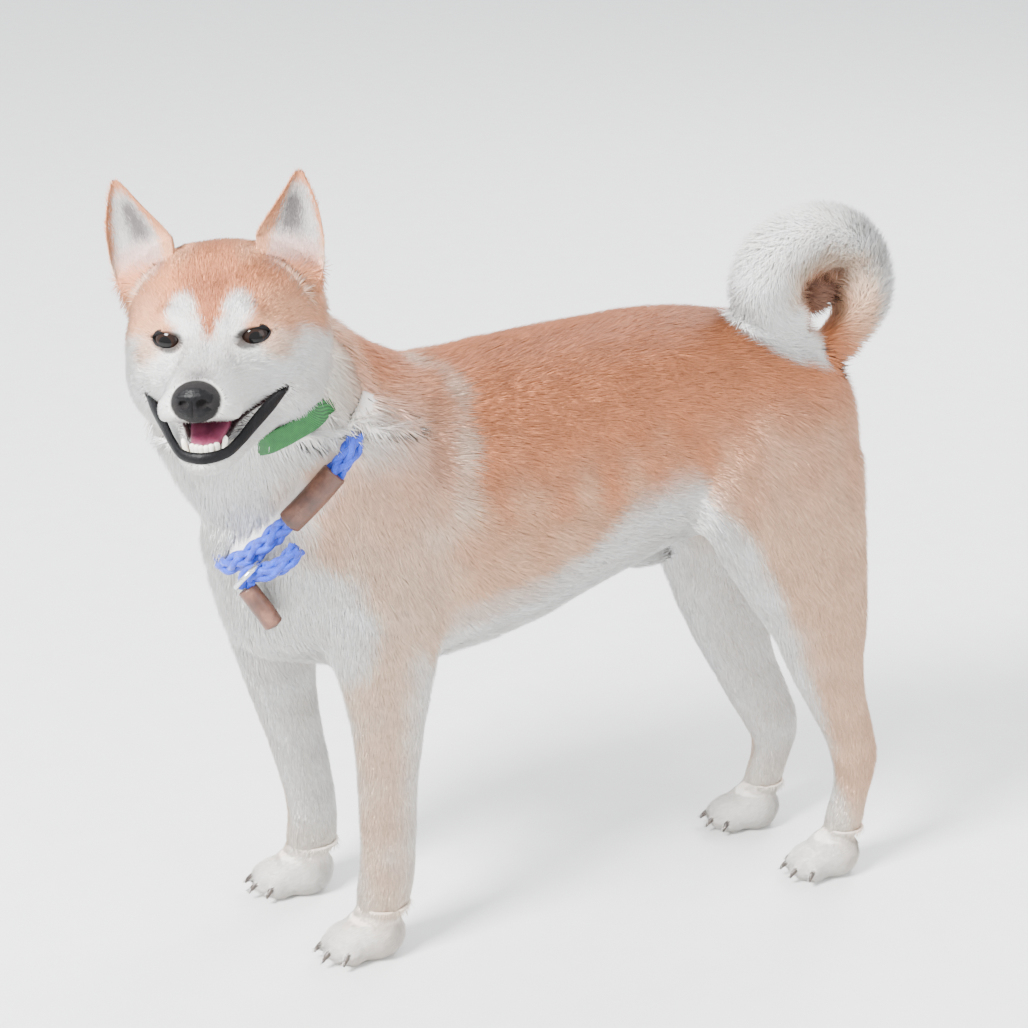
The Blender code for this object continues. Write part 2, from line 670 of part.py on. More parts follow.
def ear_form(name, side, filled=False, grown=0.0):
    """A cupped ear, or the plug that opens its seat in the head."""
    place = head_matrix()
    inner, outer, tip = (Vector(mirrored(p, side)) for p in (EAR_INNER, EAR_OUTER, EAR_TIP))
    base = (inner + outer) / 2
    up = (tip - base).normalized()
    along_base = (outer - inner).normalized()
    level = (along_base - up * along_base.dot(up)).normalized()
    forward = along_base.cross(up).normalized() * side
    rows = EAR_ROWS
    if filled:
        rows = [r for r in rows if r[0] < EAR_PLUG_TO + 0.1]
    rings = []
    for t, half_width, back, cup in smooth_rows(rows, 1):
        across = along_base.lerp(level, min(max(t * 1.4, 0), 1)).normalized()
        centre = base + (tip - base) * t + across * 0.0016 * math.sin(math.pi * max(t, 0))
        ring = []
        for k in range(10):
            angle = math.pi * k / 9
            depth = EAR_EDGE + (back - EAR_EDGE) * math.sin(angle) + grown
            ring.append(centre + across * (half_width + grown) * math.cos(angle) - forward * depth)
        for k in range(10):
            angle = math.pi * (1 - k / 9)
            depth = -EAR_EDGE + (cup + EAR_EDGE) * math.sin(angle)
            if filled:
                depth = min(depth, -EAR_EDGE) - grown
            ring.append(centre + across * (half_width + grown) * math.cos(angle) - forward * depth)
        rings.append([place @ p for p in ring])
    first = sum(rings[0], Vector()) / 20 - (place.to_3x3() @ up) * (0.001 + grown)
    last = sum(rings[-1], Vector()) / 20 + (place.to_3x3() @ up) * 0.0015
    return loft(name, rings, first, last)


def both_sides(points):
    """A line given on the dog's left, carried on to its right."""
    return [Vector(p) for p in points] + [Vector(mirrored(p, -1)) for p in reversed(points[:-1])]


def rim(name, points, half_width, half_depth, grown=0.0, caps=(0.6, 0.6)):
    rows = smooth_rows([(p, half_width, half_depth) for p in both_sides(points)], 2)
    return tube(name, rows, (0, 0, 1), head_matrix(), caps, grown, 8)


def round_neck(skin, centre, down):
    """Points where a plane round the neck meets the skin, from the dog's left by way of its front."""
    tree = BVHTree.FromPolygons([v.co for v in skin.data.vertices], [p.vertices for p in skin.data.polygons])
    centre, down = Vector(centre), Vector(down).normalized()
    radii = []
    for k in range(AROUND):
        angle = 2 * math.pi * k / AROUND
        way = Vector((1, 0, 0)) * math.cos(angle) + down * math.sin(angle)
        radii.append((tree.ray_cast(centre, way)[0] - centre).length)
    for _ in range(6):
        radii = [(radii[k - 1] + radii[k] * 2 + radii[(k + 1) % AROUND]) / 4 for k in range(AROUND)]
    return centre, down, radii


def neck_point(loop, angle, outward=0.0, sideways=0.0):
    centre, down, radii = loop
    place = angle / 360 * AROUND
    low = int(math.floor(place))
    radius = radii[low % AROUND] * (low + 1 - place) + radii[(low + 1) % AROUND] * (place - low)
    turn = math.radians(angle)
    way = Vector((1, 0, 0)) * math.cos(turn) + down * math.sin(turn)
    return centre + way * (radius + outward) + Vector((1, 0, 0)).cross(down) * sideways


def strap(name, loop, width, thickness, grown=0.0):
    """A flat closed band round the neck."""
    points, faces = [], []
    for k in range(AROUND):
        angle = 360 * k / AROUND
        past = max(angle - COLLAR_SHOWS_TO, 0) if angle < 200 else max(COLLAR_SHOWS_FROM - angle + 360, 0)
        ease = min(past / COLLAR_EASE, 1.0)
        sunk = COLLAR_SHOWN + (COLLAR_SUNK - COLLAR_SHOWN) * ease * ease * (3 - 2 * ease)
        for out, across in ((1, 1), (1, -1), (-1, -1), (-1, 1)):
            points.append(neck_point(loop, angle, out * (thickness / 2 + grown) - sunk,
                                     across * (width / 2 + grown)))
    for k in range(AROUND):
        for j in range(4):
            a, b = k * 4 + j, k * 4 + (j + 1) % 4
            faces.append((a, b, (b + 4) % (4 * AROUND), (a + 4) % (4 * AROUND)))
    return mesh_object(name, points, faces)


def rope_rows(loop, start, end, radius):
    count = max(3, int(abs(end - start) / 10))
    rows = []
    for k in range(count + 1):
        angle = start + (end - start) * k / count
        past = max(angle - ROPE_SHOWS_TO, 0) if angle < 225 else max(ROPE_SHOWS_FROM - angle + 360, 0)
        sunk = min(past / ROPE_EASE, 1.0)
        point = neck_point(loop, angle, ROPE_PROUD - (ROPE_PROUD + ROPE_SUNK) * sunk)
        rows.append((*point, radius, radius))
    return rows


def torus(name, centre, radius, thickness, axis, grown=0.0):
    turn = Vector((0, 0, 1)).rotation_difference(Vector(axis)).to_matrix().to_4x4()
    place = Matrix.Translation(centre) @ turn
    points, faces = [], []
    for k in range(24):
        angle = 2 * math.pi * k / 24
        for j in range(6):
            side = 2 * math.pi * j / 6
            out = radius + (thickness + grown) * math.cos(side)
            points.append(place @ Vector((out * math.cos(angle), out * math.sin(angle),
                                          (thickness + grown) * math.sin(side))))
    for k in range(24):
        for j in range(6):
            a, b = k * 6 + j, k * 6 + (j + 1) % 6
            faces.append((a, b, (b + 6) % 144, (a + 6) % 144))
    return mesh_object(name, points, faces)


def tail_form(name, first, last, grown=0.0):
    """One length of the tail, with a thin gap at its start."""
    rows = smooth_rows(TAIL)
    span = slice(first * STEPS, last * STEPS + 1)
    tangents = tangents_of(rows)[span]
    rows = rows[span]
    if first > 0:
        rows[0][:3] += np.array(tangents[0] * GAP)
    caps = (0.6 if first == 0 else 0.0, 0.6 if last == len(TAIL) - 1 else 0.0)
    if grown:
        return tube(name, rows, (1, 0, 0.2), None, caps, grown, 20, tangents)
    stations = np.arange(first * STEPS, last * STEPS + 1) / STEPS
    bare = np.clip((stations - CORE_SET_TO) / (CORE_THIN_FROM - CORE_SET_TO), 0, 1)
    rows[:, 3:] *= (1 - bare * (1 - TAIL_CORE))[:, None]
    kept = list(range(0, len(rows) - 1, 2)) + [len(rows) - 1]
    tangents = [tangents[k] for k in kept]
    return tube(name, rows[kept], (1, 0, 0.2), None, caps, 0.0, 10, tangents)


def on_brush(rows, tangents, station, turn, share):
    """A point of the tail's brush, and the way out from its middle there."""
    at = min(max(station * STEPS, 0), len(rows) - 1.001)
    low, part = int(at), at % 1
    row = rows[low] * (1 - part) + rows[low + 1] * part
    tangent = tangents[low].lerp(tangents[low + 1], part).normalized()
    side = Vector((1, 0, 0.2))
    across = (side - tangent * tangent.dot(side)).normalized()
    out = across * math.cos(turn) + tangent.cross(across) * math.sin(turn)
    return Vector(row[:3]) + out * row[3] * share, out


def lock(rows, tangents, station, turn, size):
    """A flat tapered lock that leaves the tail's core, bends and lies along the brush."""
    spots = [on_brush(rows, tangents, station + along * size, turn, out)
             for along, out in zip(LOCK_ALONG, LOCK_OUT)]
    rings = []
    for (point, out), (after, _), width in zip(spots, spots[1:], LOCK_WIDTHS):
        way = (after - point).normalized()
        side = way.cross(out).normalized() * width / 2 * size
        up = side.cross(way).normalized() * LOCK_THICKNESS / 2
        rings.append([point + side, point + up, point - side])
    root = spots[0][0] - (spots[1][0] - spots[0][0]).normalized() * 0.001
    return loft("lock", rings, root, spots[-1][0])


def brushed(name, first, last):
    """A length of the tail: its core with the locks that lie on it, cut off at its two ends."""
    rows = smooth_rows(TAIL)
    tangents = tangents_of(rows)
    parts = [tail_form(name, first, last)]
    stations = np.arange(max(first + 0.06, BRUSH_FROM), last - 0.5, BRUSH_PITCH)
    for ring, station in enumerate(stations):
        for k in range(BRUSH_AROUND):
            turn = 2 * math.pi * (k + 0.5 * (ring % 2)) / BRUSH_AROUND
            size = 1 + 0.12 * math.sin(2.4 * (ring * BRUSH_AROUND + k + first))
            parts.append(lock(rows, tangents, station, turn, size))
    body = merged(name, parts)
    for station, way in ((first, -1), (last, 1)):
        if 0 < station < len(TAIL) - 1:
            along = tangents[station * STEPS]
            face = Vector(rows[station * STEPS][:3]) + along * (GAP if way < 0 else 0)
            turn = Vector((0, 0, 1)).rotation_difference(along * way).to_matrix().to_4x4()
            beyond = box_cutter((0, 0, 0.06), (0.06,) * 3, 0.0, Matrix.Translation(face) @ turn)
            body = boolean(body, beyond, "DIFFERENCE")
            drop(beyond)
    return body


def worn(skin):
    """The collar and the rope collar: each node, with the shape that it presses into the coat."""
    collar_line = round_neck(skin, COLLAR_CENTRE, COLLAR_DOWN)
    rope_line = round_neck(skin, ROPE_CENTRE, ROPE_DOWN)
    made = []
    for grown in (0.0, GAP):
        made.append({
            "collar": strap("collar", collar_line, COLLAR_WIDTH, COLLAR_THICKNESS, grown),
            "rope": tube("rope", rope_rows(rope_line, SLEEVE_TO + 0.3, 360 + SLEEVE_FROM - 0.3,
                                           ROPE_RADIUS), (0, 1, 0), None, (0, 0), grown, 8),
            "sleeve": tube("sleeve", rope_rows(rope_line, SLEEVE_FROM, SLEEVE_TO,
                                               SLEEVE_RADIUS), (0, 1, 0), None, (0, 0), grown, 14),
            "strand": path_form("strand", [(p, STRAND_RADIUS, STRAND_RADIUS) for p in STRAND],
                                (1, 0, 0), None, (0, 0), 2, grown, 10),
            "ferrule": path_form("ferrule", [(p, FERRULE_RADIUS, FERRULE_RADIUS) for p in FERRULE],
                                 (1, 0, 0), None, (0, 0.35), 2, grown, 14),
            "ring": torus("ring", *RING, Vector(RING_LONG).cross(Vector(RING_VIEW)), grown),
        })
    return made


def clawed(name, paw):
    (x, y), heading, size = PAWS[name.removeprefix("paw_")]
    place = Matrix.Translation((x, y, 0)) @ Matrix.Rotation(math.radians(heading), 4, "Z")
    place = place @ Matrix.Scale(size, 4)
    claws = []
    for angle in TOE_ANGLES:
        reach = 0.0195 if abs(angle) < 15 else 0.0145
        spread = place @ Matrix.Rotation(math.radians(angle), 4, "Z") @ Matrix.Translation((0, -reach, 0))
        rows = [(c, r, r * 1.2) for c, r in zip(CLAW, CLAW_RADII)]
        claws.append(path_form("claw", rows, (1, 0, 0), spread, (0.2, 0.8), 1, 0.0, 6))
    return merged(name, [paw] + claws)


def face_nodes(nodes):
    """Eyes, lids, nose, ears, lip, teeth and tongue, each set in its seat."""
    place = head_matrix()
    head, jaw = nodes["head"], nodes["jaw"]
    seats = []
    for side, word in ((1, "left"), (-1, "right")):
        centre, radius = EYE
        size = (radius,) * 3
        nodes["eye_" + word] = ellipsoid("eye_" + word, mirrored(centre, side), size, 0.0, place, 14)
        eye_seat = ellipsoid("seat", mirrored(centre, side), (radius + GAP,) * 3, 0.0, place, 14)
        lids = almond("lids_" + word, side, LID_THICKNESS)
        nodes["lids_" + word] = boolean(lids, eye_seat, "DIFFERENCE")
        nodes["ear_" + word] = ear_form("ear_" + word, side)
        opening = ellipsoid("seat", (0, -0.003, 0), (LID_HALF_WIDTH, 0.011, LID_HALF_HEIGHT), 0.0,
                            lid_place(side), 12)
        seats += [opening, eye_seat, almond("seat", side, LID_THICKNESS + GAP), ear_form("seat", side, True, GAP)]
    nose = ellipsoid("nose", *NOSE, 0.0, place, 16)
    for side in (1, -1):
        hole = ellipsoid("hole", mirrored(NOSTRIL[0], side), NOSTRIL[1], 0.0, place, 8)
        nose = boolean(nose, hole, "DIFFERENCE")
        drop(hole)
    nodes["nose"] = nose
    seats.append(ellipsoid("seat", NOSE[0], [h + GAP for h in NOSE[1]], 0.0, place, 16))
    lip_seat = rim("seat", LIP, LIP_RADIUS, LIP_RADIUS, GAP)
    tongue_seat = path_form("seat", TONGUE, place=place, grown=GAP, steps=2)
    teeth = [rim("teeth", TEETH, *TEETH_SIZE)]
    for side in (1, -1):
        (x, y, z), radius, height = CANINE
        rows = [((side * x, y, z - 0.002), radius, radius), ((side * x, y, z + height / 2), radius, radius),
                ((side * x * 1.05, y, z + height), radius * 0.35, radius * 0.35)]
        teeth.append(path_form("canine", rows, (1, 0, 0), place, (0.3, 0.8), 1, 0.0, 8))
    teeth_seat = rim("seat", TEETH, *TEETH_SIZE, GAP)
    nodes["lip"] = rim("lip", LIP, LIP_RADIUS, LIP_RADIUS)
    nodes["tongue"] = boolean(path_form("tongue", TONGUE, place=place, steps=2), teeth_seat, "DIFFERENCE")
    nodes["tongue"] = boolean(nodes["tongue"], lip_seat, "DIFFERENCE")
    nodes["teeth_lower"] = boolean(merged("teeth_lower", teeth), lip_seat, "DIFFERENCE")
    for seat in (lip_seat, tongue_seat, teeth_seat):
        jaw = boolean(jaw, seat, "DIFFERENCE")
    for seat in seats + [lip_seat, tongue_seat]:
        head = boolean(head, seat, "DIFFERENCE")
    nodes["head"], nodes["jaw"] = head, jaw
    drop(*seats, lip_seat, tongue_seat, teeth_seat)


def paint(node, name):
    slot = SLOTS.get(name, "coat")
    material = bpy.data.materials.get(slot) or bpy.data.materials.new(slot)
    material.use_nodes = True
    shader = material.node_tree.nodes["Principled BSDF"]
    colour, roughness = COLOURS[slot]
    shader.inputs["Base Color"].default_value = (*colour, 1.0)
    shader.inputs["Roughness"].default_value = roughness
    shader.inputs["Metallic"].default_value = 1.0 if slot == "ring" else 0.0
    node.data.materials.clear()
    node.data.materials.append(material)


def stand_in_the_middle(nodes):
    """Moves the whole so that the box round it stands on the floor with its middle over the origin."""
    points = np.array([v.co for node in nodes for v in node.data.vertices])
    low, high = points.min(0), points.max(0)
    shift = Matrix.Translation((-(low[0] + high[0]) / 2, -(low[1] + high[1]) / 2, -low[2]))
    for node in nodes:
        node.data.transform(shift)


def main():
    clear_scene()
    flesh = lightened(fused("flesh", body_forms() + head_forms()), FUSED_TRIANGLES)
    worn_nodes, worn_seats = worn(flesh)
    tails = {name: brushed(name, first, last) for name, first, last in TAIL_NODES}
    mouth = prism("mouth", MOUTH, MOUTH_HALF_WIDTH, head_matrix())
    floor = box_cutter((0, 0, -0.05), (0.5, 0.5, 0.05), 0.0, Matrix())
    flesh = boolean(boolean(flesh, mouth, "DIFFERENCE"), floor, "DIFFERENCE")
    drop(mouth, floor)
    nodes = part_flesh(flesh)
    seats = list(worn_seats.values()) + [tail_form("seat", 0, len(TAIL) - 1, GAP)]
    for name in nodes:
        for seat in seats:
            if boxes_meet(nodes[name], seat):
                nodes[name] = boolean(nodes[name], seat, "DIFFERENCE")
    face_nodes(nodes)
    for name in [n for n in nodes if n.startswith("paw_")]:
        nodes[name] = clawed(name, nodes[name])
    for name, over in (("rope", ("sleeve",)), ("strand", ("rope", "sleeve", "ring")),
                       ("ferrule", ("strand", "ring", "rope")), ("ring", ("rope",))):
        for other in over:
            worn_nodes[name] = boolean(worn_nodes[name], worn_seats[other], "DIFFERENCE")
    drop(*seats)
    nodes.update(tails)
    nodes.update(worn_nodes)
    for name, node in nodes.items():
        node.name = name
        largest_shell(node)
        paint(node, name)
    stand_in_the_middle(nodes.values())


if __name__ == "__main__":
    main()
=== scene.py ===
"""Looks of a standing shiba inu with its head turned, its tail curled and a rope collar on."""

import math

import bmesh
import bpy
import numpy as np
from bpy.props import FloatProperty, FloatVectorProperty, PointerProperty
from mathutils import Matrix, Vector
from mathutils.bvhtree import BVHTree
from mathutils.kdtree import KDTree


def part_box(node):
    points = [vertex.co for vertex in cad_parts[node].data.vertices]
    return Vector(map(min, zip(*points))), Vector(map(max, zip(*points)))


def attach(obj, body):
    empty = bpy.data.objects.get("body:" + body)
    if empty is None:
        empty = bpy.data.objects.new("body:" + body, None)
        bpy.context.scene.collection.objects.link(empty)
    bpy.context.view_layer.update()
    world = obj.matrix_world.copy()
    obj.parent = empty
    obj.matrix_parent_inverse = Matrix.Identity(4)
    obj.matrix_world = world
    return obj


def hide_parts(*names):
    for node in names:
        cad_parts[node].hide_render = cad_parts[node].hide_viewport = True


bl_info = {
    "name": "Standing shiba inu",
    "version": (1, 0, 0),
    "blender": (4, 5, 0),
    "location": "3D View > Sidebar > Dog",
    "description": "Skin, coat, face, collar and stage of a standing shiba inu",
    "category": "Object",
}

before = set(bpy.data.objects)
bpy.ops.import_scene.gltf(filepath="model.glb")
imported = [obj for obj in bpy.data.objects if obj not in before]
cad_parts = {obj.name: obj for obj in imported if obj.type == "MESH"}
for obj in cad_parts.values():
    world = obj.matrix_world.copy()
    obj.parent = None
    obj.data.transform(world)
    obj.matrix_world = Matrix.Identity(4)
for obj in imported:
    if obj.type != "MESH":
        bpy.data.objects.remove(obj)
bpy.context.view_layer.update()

# The head's own frame: origin between the eyes, muzzle along -Y, the dog's left +X, in metres
HEAD_PLACE = (0.0773, -0.2426, 0.4402)
HEAD_TURN, HEAD_TILT, HEAD_LIFT = 67.0, -4.3, -10.5
EYE_CENTRE, EYE_RADIUS = Vector((0.0243, 0.0085, 0.0)), 0.0115
# The eye's opening: its middle, how it is turned and slanted, half width and half height
LID_CENTRE, LID_TURN, LID_SLANT = (0.0252, -0.0022, 0.0), 24.0, 11.0
LID_HALF_WIDTH, LID_HALF_HEIGHT, LID_SKEW = 0.0106, 0.0047, 0.28
# The lids' section from the opening outward: how far out from its edge, how high over the ball
LID_ROWS = ((-0.0008, -0.0016), (-0.0003, 0.0002), (0.0002, 0.0009), (0.0010, 0.0013), (0.0022, 0.0011),
            (0.0036, 0.0002), (0.0034, -0.0022))
NOSE = ((0.0006, -0.0585, -0.0295), (0.0132, 0.0092, 0.0112))
NOSE_SHARE = 0.90
NOSTRIL = (0.0056, -0.0670, -0.0300)
# The edge of the lower lip from the mouth's corner to the front, and the mouth's top and floor along it
LIP = ((0.0400, 0.0030, -0.0320), (0.0345, -0.0090, -0.0375), (0.0272, -0.0220, -0.0455),
       (0.0200, -0.0350, -0.0540), (0.0125, -0.0450, -0.0600), (0.0000, -0.0495, -0.0620))
MOUTH_TOP = ((-80, -44.0), (-42, -45.5), (-26, -42.5), (-12, -37.0), (4, -31.5))
MOUTH_LOW = ((-80, -64.0), (-42, -58.5), (-26, -51.0), (-12, -42.0), (4, -31.5))
TONGUE = ((0.0, 0.002, -0.0440, 0.0100, 0.0030), (0.0, -0.016, -0.0470, 0.0120, 0.0036),
          (0.0, -0.031, -0.0530, 0.0100, 0.0036), (0.0, -0.0400, -0.0568, 0.0084, 0.0028))
# Ears: where the base starts and ends, the tip, and rows of how far up, half width, depth behind and
# depth of the cup
EAR_INNER, EAR_OUTER, EAR_TIP = (0.0238, 0.0330, 0.0540), (0.0610, 0.0420, 0.0260), (0.0550, 0.0250, 0.0925)
EAR_ROWS = (
    (-0.30, 0.0165, 0.0095, -0.0050), (0.00, 0.0220, 0.0120, -0.0005), (0.15, 0.0215, 0.0125, 0.0048),
    (0.40, 0.0173, 0.0105, 0.0068), (0.65, 0.0115, 0.0075, 0.0044), (0.85, 0.0062, 0.0048, 0.0019),
    (0.97, 0.0026, 0.0026, 0.0003),
)
EAR_EDGE = 0.0010
# The small tooth behind each canine
PREMOLAR = (0.0140, -0.0335, -0.0582)
TOE_ANGLES = (-36.0, -12.0, 12.0, 36.0)
CLAW = ((0.0, -0.0075, 0.0128), (0.0, -0.0125, 0.0110), (0.0, -0.0160, 0.0080), (0.0, -0.0172, 0.0058))
CLAW_RADII = (0.0024, 0.0021, 0.0014, 0.0006)
# Collars: a point on the neck's axis and the way down its front, and where round it they show
COLLAR_CENTRE, COLLAR_DOWN, COLLAR_SHOWS = (0.008, -0.178, 0.3835), (0.0, -0.914, -0.405), (4, 26)
ROPE_CENTRE, ROPE_DOWN, ROPE_SHOWS = (0.0, -0.169, 0.347), (0.0, -0.660, -0.750), (-16, 68)
STRAND = ((0.0730, -0.1935, 0.3010), (0.0720, -0.2020, 0.2915), (0.0660, -0.2130, 0.2850),
          (0.0600, -0.2215, 0.2820), (0.0600, -0.2235, 0.2740))

# The flesh that the skin stands for, and what fills its seats while it is made
HEAD_FLESH = ("head", "jaw")
EARS = ("ear_left", "ear_right")
HEAD_FILLING = ("eye_left", "eye_right", "lids_left", "lids_right", "nose")
BODY_FLESH = (
    "neck", "chest", "loin", "upper_arm_left", "upper_arm_right", "forearm_left", "forearm_right",
    "paw_front_left", "paw_front_right", "thigh_left", "thigh_right", "shank_left", "shank_right",
    "paw_hind_left", "paw_hind_right",
)
BODY_FILLING = ("collar",)
TAIL_FLESH = ("tail_root", "tail_middle", "tail_end")
# The tail's middle line, with the brush's radius
TAIL = (
    (0.000, 0.150, 0.3700, 0.0190), (0.000, 0.180, 0.3650, 0.0225), (-0.003, 0.204, 0.3770, 0.0235),
    (-0.005, 0.2170, 0.3980, 0.0250), (-0.004, 0.2145, 0.4225, 0.0255),
    (0.000, 0.1980, 0.4415, 0.0262), (0.004, 0.1740, 0.4455, 0.0272),
    (0.009, 0.1505, 0.4375, 0.0285), (0.013, 0.1400, 0.4220, 0.0285),
    (0.016, 0.1400, 0.4085, 0.0260), (0.018, 0.1475, 0.4000, 0.0215), (0.019, 0.1580, 0.3970, 0.0150),
)
TAIL_CORE = 0.70
TAIL_CURL = Vector((0.004, 0.179, 0.408))

# Legs: middle line from the body down, for the way the hair lies
LEGS = (
    ((0.058, -0.138, 0.250), (0.057, -0.134, 0.165), (0.053, -0.134, 0.085), (0.053, -0.139, 0.035)),
    ((-0.060, -0.165, 0.250), (-0.056, -0.177, 0.165), (-0.048, -0.162, 0.085), (-0.047, -0.160, 0.035)),
    ((0.057, 0.150, 0.250), (0.058, 0.174, 0.165), (0.051, 0.197, 0.106), (0.049, 0.196, 0.035)),
    ((-0.054, 0.132, 0.250), (-0.046, 0.145, 0.165), (-0.037, 0.170, 0.100), (-0.035, 0.172, 0.033)),
)
# Paws: node, place on the floor, heading in degrees to the dog's left, size
PAWS = (
    ("paw_front_left", (0.053, -0.148), 6.0, 1.0), ("paw_front_right", (-0.047, -0.170), -4.0, 1.0),
    ("paw_hind_left", (0.049, 0.186), 4.0, 0.93), ("paw_hind_right", (-0.035, 0.162), -6.0, 0.93),
)

# Guides of the coat on the body, each of them on both sides: a point, the way the hair lies, how far
# the guide reaches, then the coat's depth and the length and width of a tuft, in millimetres
BODY_GUIDES = (
    ((0.00, -0.10, 0.400), (0, 1.0, -0.12), 40, 5.0, 15.0, 1.15),
    ((0.00, 0.00, 0.405), (0, 1.0, 0.00), 40, 4.5, 14.0, 1.10),
    ((0.00, 0.10, 0.405), (0, 1.0, -0.05), 40, 4.5, 14.0, 1.10),
    ((0.00, 0.18, 0.375), (0, 0.9, -0.30), 30, 5.0, 14.0, 1.10),
    ((0.05, -0.05, 0.370), (0, 1.0, -0.35), 40, 4.5, 14.0, 1.10),
    ((0.05, 0.05, 0.370), (0, 1.0, -0.25), 40, 4.0, 13.0, 1.10),
    ((0.05, 0.13, 0.360), (0, 1.0, -0.50), 35, 4.0, 13.0, 1.10),
    ((0.08, -0.04, 0.310), (0, 1.0, -0.45), 35, 4.0, 13.0, 1.05),
    ((0.075, 0.04, 0.310), (0, 1.0, -0.35), 35, 4.0, 13.0, 1.05),
    ((0.07, -0.03, 0.250), (0, 1.0, -0.30), 30, 4.0, 13.0, 1.05),
    ((0.05, 0.04, 0.260), (0, 1.0, -0.10), 30, 4.0, 13.0, 1.05),
    ((0.00, -0.08, 0.205), (0, 1.0, 0.10), 30, 4.5, 14.0, 1.05),
    ((0.00, 0.00, 0.220), (0, 1.0, 0.15), 30, 4.0, 13.0, 1.05),
    ((0.00, 0.06, 0.240), (0, 1.0, 0.15), 25, 2.5, 9.0, 0.90),
    ((0.08, 0.15, 0.330), (0, 0.60, -0.80), 35, 4.0, 12.0, 1.05),
    ((0.085, 0.14, 0.260), (0, 0.45, -0.90), 30, 3.5, 11.0, 1.00),
    ((0.05, 0.20, 0.320), (0, 0.35, -1.00), 30, 5.0, 14.0, 1.05),
    ((0.00, 0.21, 0.320), (0, 0.10, -1.00), 25, 4.0, 11.0, 1.00),
    ((0.00, -0.235, 0.300), (0, -0.05, -1.00), 30, 6.0, 17.0, 1.15),
    ((0.00, -0.22, 0.240), (0, 0.30, -1.00), 30, 5.5, 16.0, 1.10),
    ((0.00, -0.18, 0.205), (0, 0.80, -0.40), 30, 5.0, 14.0, 1.05),
    ((0.075, -0.15, 0.340), (0, 0.45, -0.90), 28, 4.5, 13.0, 1.05),
    ((0.08, -0.13, 0.280), (0, 0.30, -1.00), 28, 4.0, 12.0, 1.05),
    ((0.08, -0.10, 0.250), (0, 0.60, -0.80), 25, 4.0, 12.0, 1.05),
    ((0.06, -0.18, 0.370), (-0.10, 0.40, -0.95), 28, 6.0, 16.0, 1.15),
    ((0.03, -0.14, 0.400), (-0.05, 0.75, -0.60), 30, 6.0, 16.0, 1.15),
    ((0.01, -0.23, 0.350), (-0.10, 0.10, -1.00), 28, 6.5, 18.0, 1.15),
)
# Guides on the head, in its own frame and in millimetres
HEAD_GUIDES = (
    ((0, -58, -24), (0, 1, 0.10), 10, 0.6, 2.2, 0.42),
    ((0, -40, -10), (0, 1, 0.15), 14, 0.8, 3.0, 0.45),
    ((0, -18, -4), (0, 1, 0.35), 12, 0.9, 3.6, 0.48),
    ((0, -2, 4), (0, 0.6, 0.8), 12, 1.1, 4.5, 0.52),
    ((0, 12, 28), (0, 0.45, 0.9), 16, 1.4, 6.0, 0.60),
    ((0, 40, 53), (0, 1, 0.15), 20, 1.8, 7.5, 0.65),
    ((0, 75, 50), (0, 0.9, -0.4), 22, 2.6, 9.0, 0.75),
    ((0, 95, 10), (0, 0.5, -0.85), 25, 4.5, 12.0, 0.95),
    ((18, 5, 15), (0.35, 0.5, 0.8), 12, 1.1, 4.5, 0.52),
    ((12, -8, 2), (0.25, 0.7, 0.5), 9, 0.7, 3.0, 0.45),
    ((36, 8, 6), (0.5, 0.85, 0.1), 12, 1.0, 4.5, 0.52),
    ((28, -4, -12), (0.35, 0.95, -0.15), 10, 0.9, 4.0, 0.50),
    ((46, 10, -20), (0.25, 0.95, -0.25), 16, 2.0, 7.0, 0.62),
    ((56, 32, -25), (0.15, 0.8, -0.6), 18, 3.5, 10.0, 0.80),
    ((60, 60, 0), (0, 0.7, -0.7), 22, 4.0, 11.0, 0.90),
    ((40, 20, 40), (0.3, 0.6, 0.5), 16, 1.6, 6.5, 0.60),
    ((18, -45, -30), (0.2, 1, -0.10), 12, 0.7, 2.6, 0.42),
    ((24, -22, -30), (0.25, 1, -0.15), 12, 0.9, 4.0, 0.48),
    ((34, -5, -34), (0.3, 1, -0.3), 12, 1.3, 5.0, 0.55),
    ((15, -30, -72), (0.1, 1, -0.10), 14, 1.0, 4.5, 0.52),
    ((30, 5, -62), (0.15, 1, -0.3), 16, 2.0, 7.0, 0.65),
    ((0, -45, -76), (0, 1, -0.20), 12, 0.8, 4.0, 0.50),
    ((0, 20, -72), (0, 0.8, -0.6), 25, 3.5, 10.0, 0.80),
    ((48, 60, -50), (0, 0.6, -0.8), 25, 5.0, 13.0, 0.95),
)
EAR_COAT = (0.5, 4.0, 0.45)
LEG_COAT = ((3.5, 11.0, 1.0), (2.6, 8.5, 0.85), (1.8, 6.0, 0.70), (1.4, 4.5, 0.60))
PAW_COAT = (1.2, 4.0, 0.55)

# Borders of the white on the dog's left: (height, along) of the breast and foreleg, (along, height) of
# the flank, and (height, along) of the hind leg's front
BREAST_BORDER = ((0.0584, -0.1538), (0.1141, -0.1545), (0.1775, -0.1601), (0.2004, -0.1650), (0.2325, -0.1515),
                 (0.2588, -0.1472), (0.2814, -0.1626), (0.2902, -0.1802), (0.3156, -0.1894), (0.40, -0.21))
FLANK_BORDER = ((-0.1125, 0.2249), (-0.0744, 0.2304), (-0.0356, 0.2508), (-0.0040, 0.2793), (0.0299, 0.3053),
                (0.08, 0.300))
STRIPE_BORDER = ((0.06, 0.193), (0.0879, 0.1843), (0.1533, 0.1591), (0.2113, 0.1342), (0.2491, 0.1151),
                 (0.2839, 0.0956), (0.30, 0.070))
SHOULDER_RIDGE = ((0.0, -0.1038, 0.3951), (0.0270, -0.0937, 0.3902), (0.0493, -0.0865, 0.3767),
                  (0.0655, -0.0867, 0.3559), (0.0740, -0.0929, 0.3333), (0.0783, -0.0997, 0.3027))
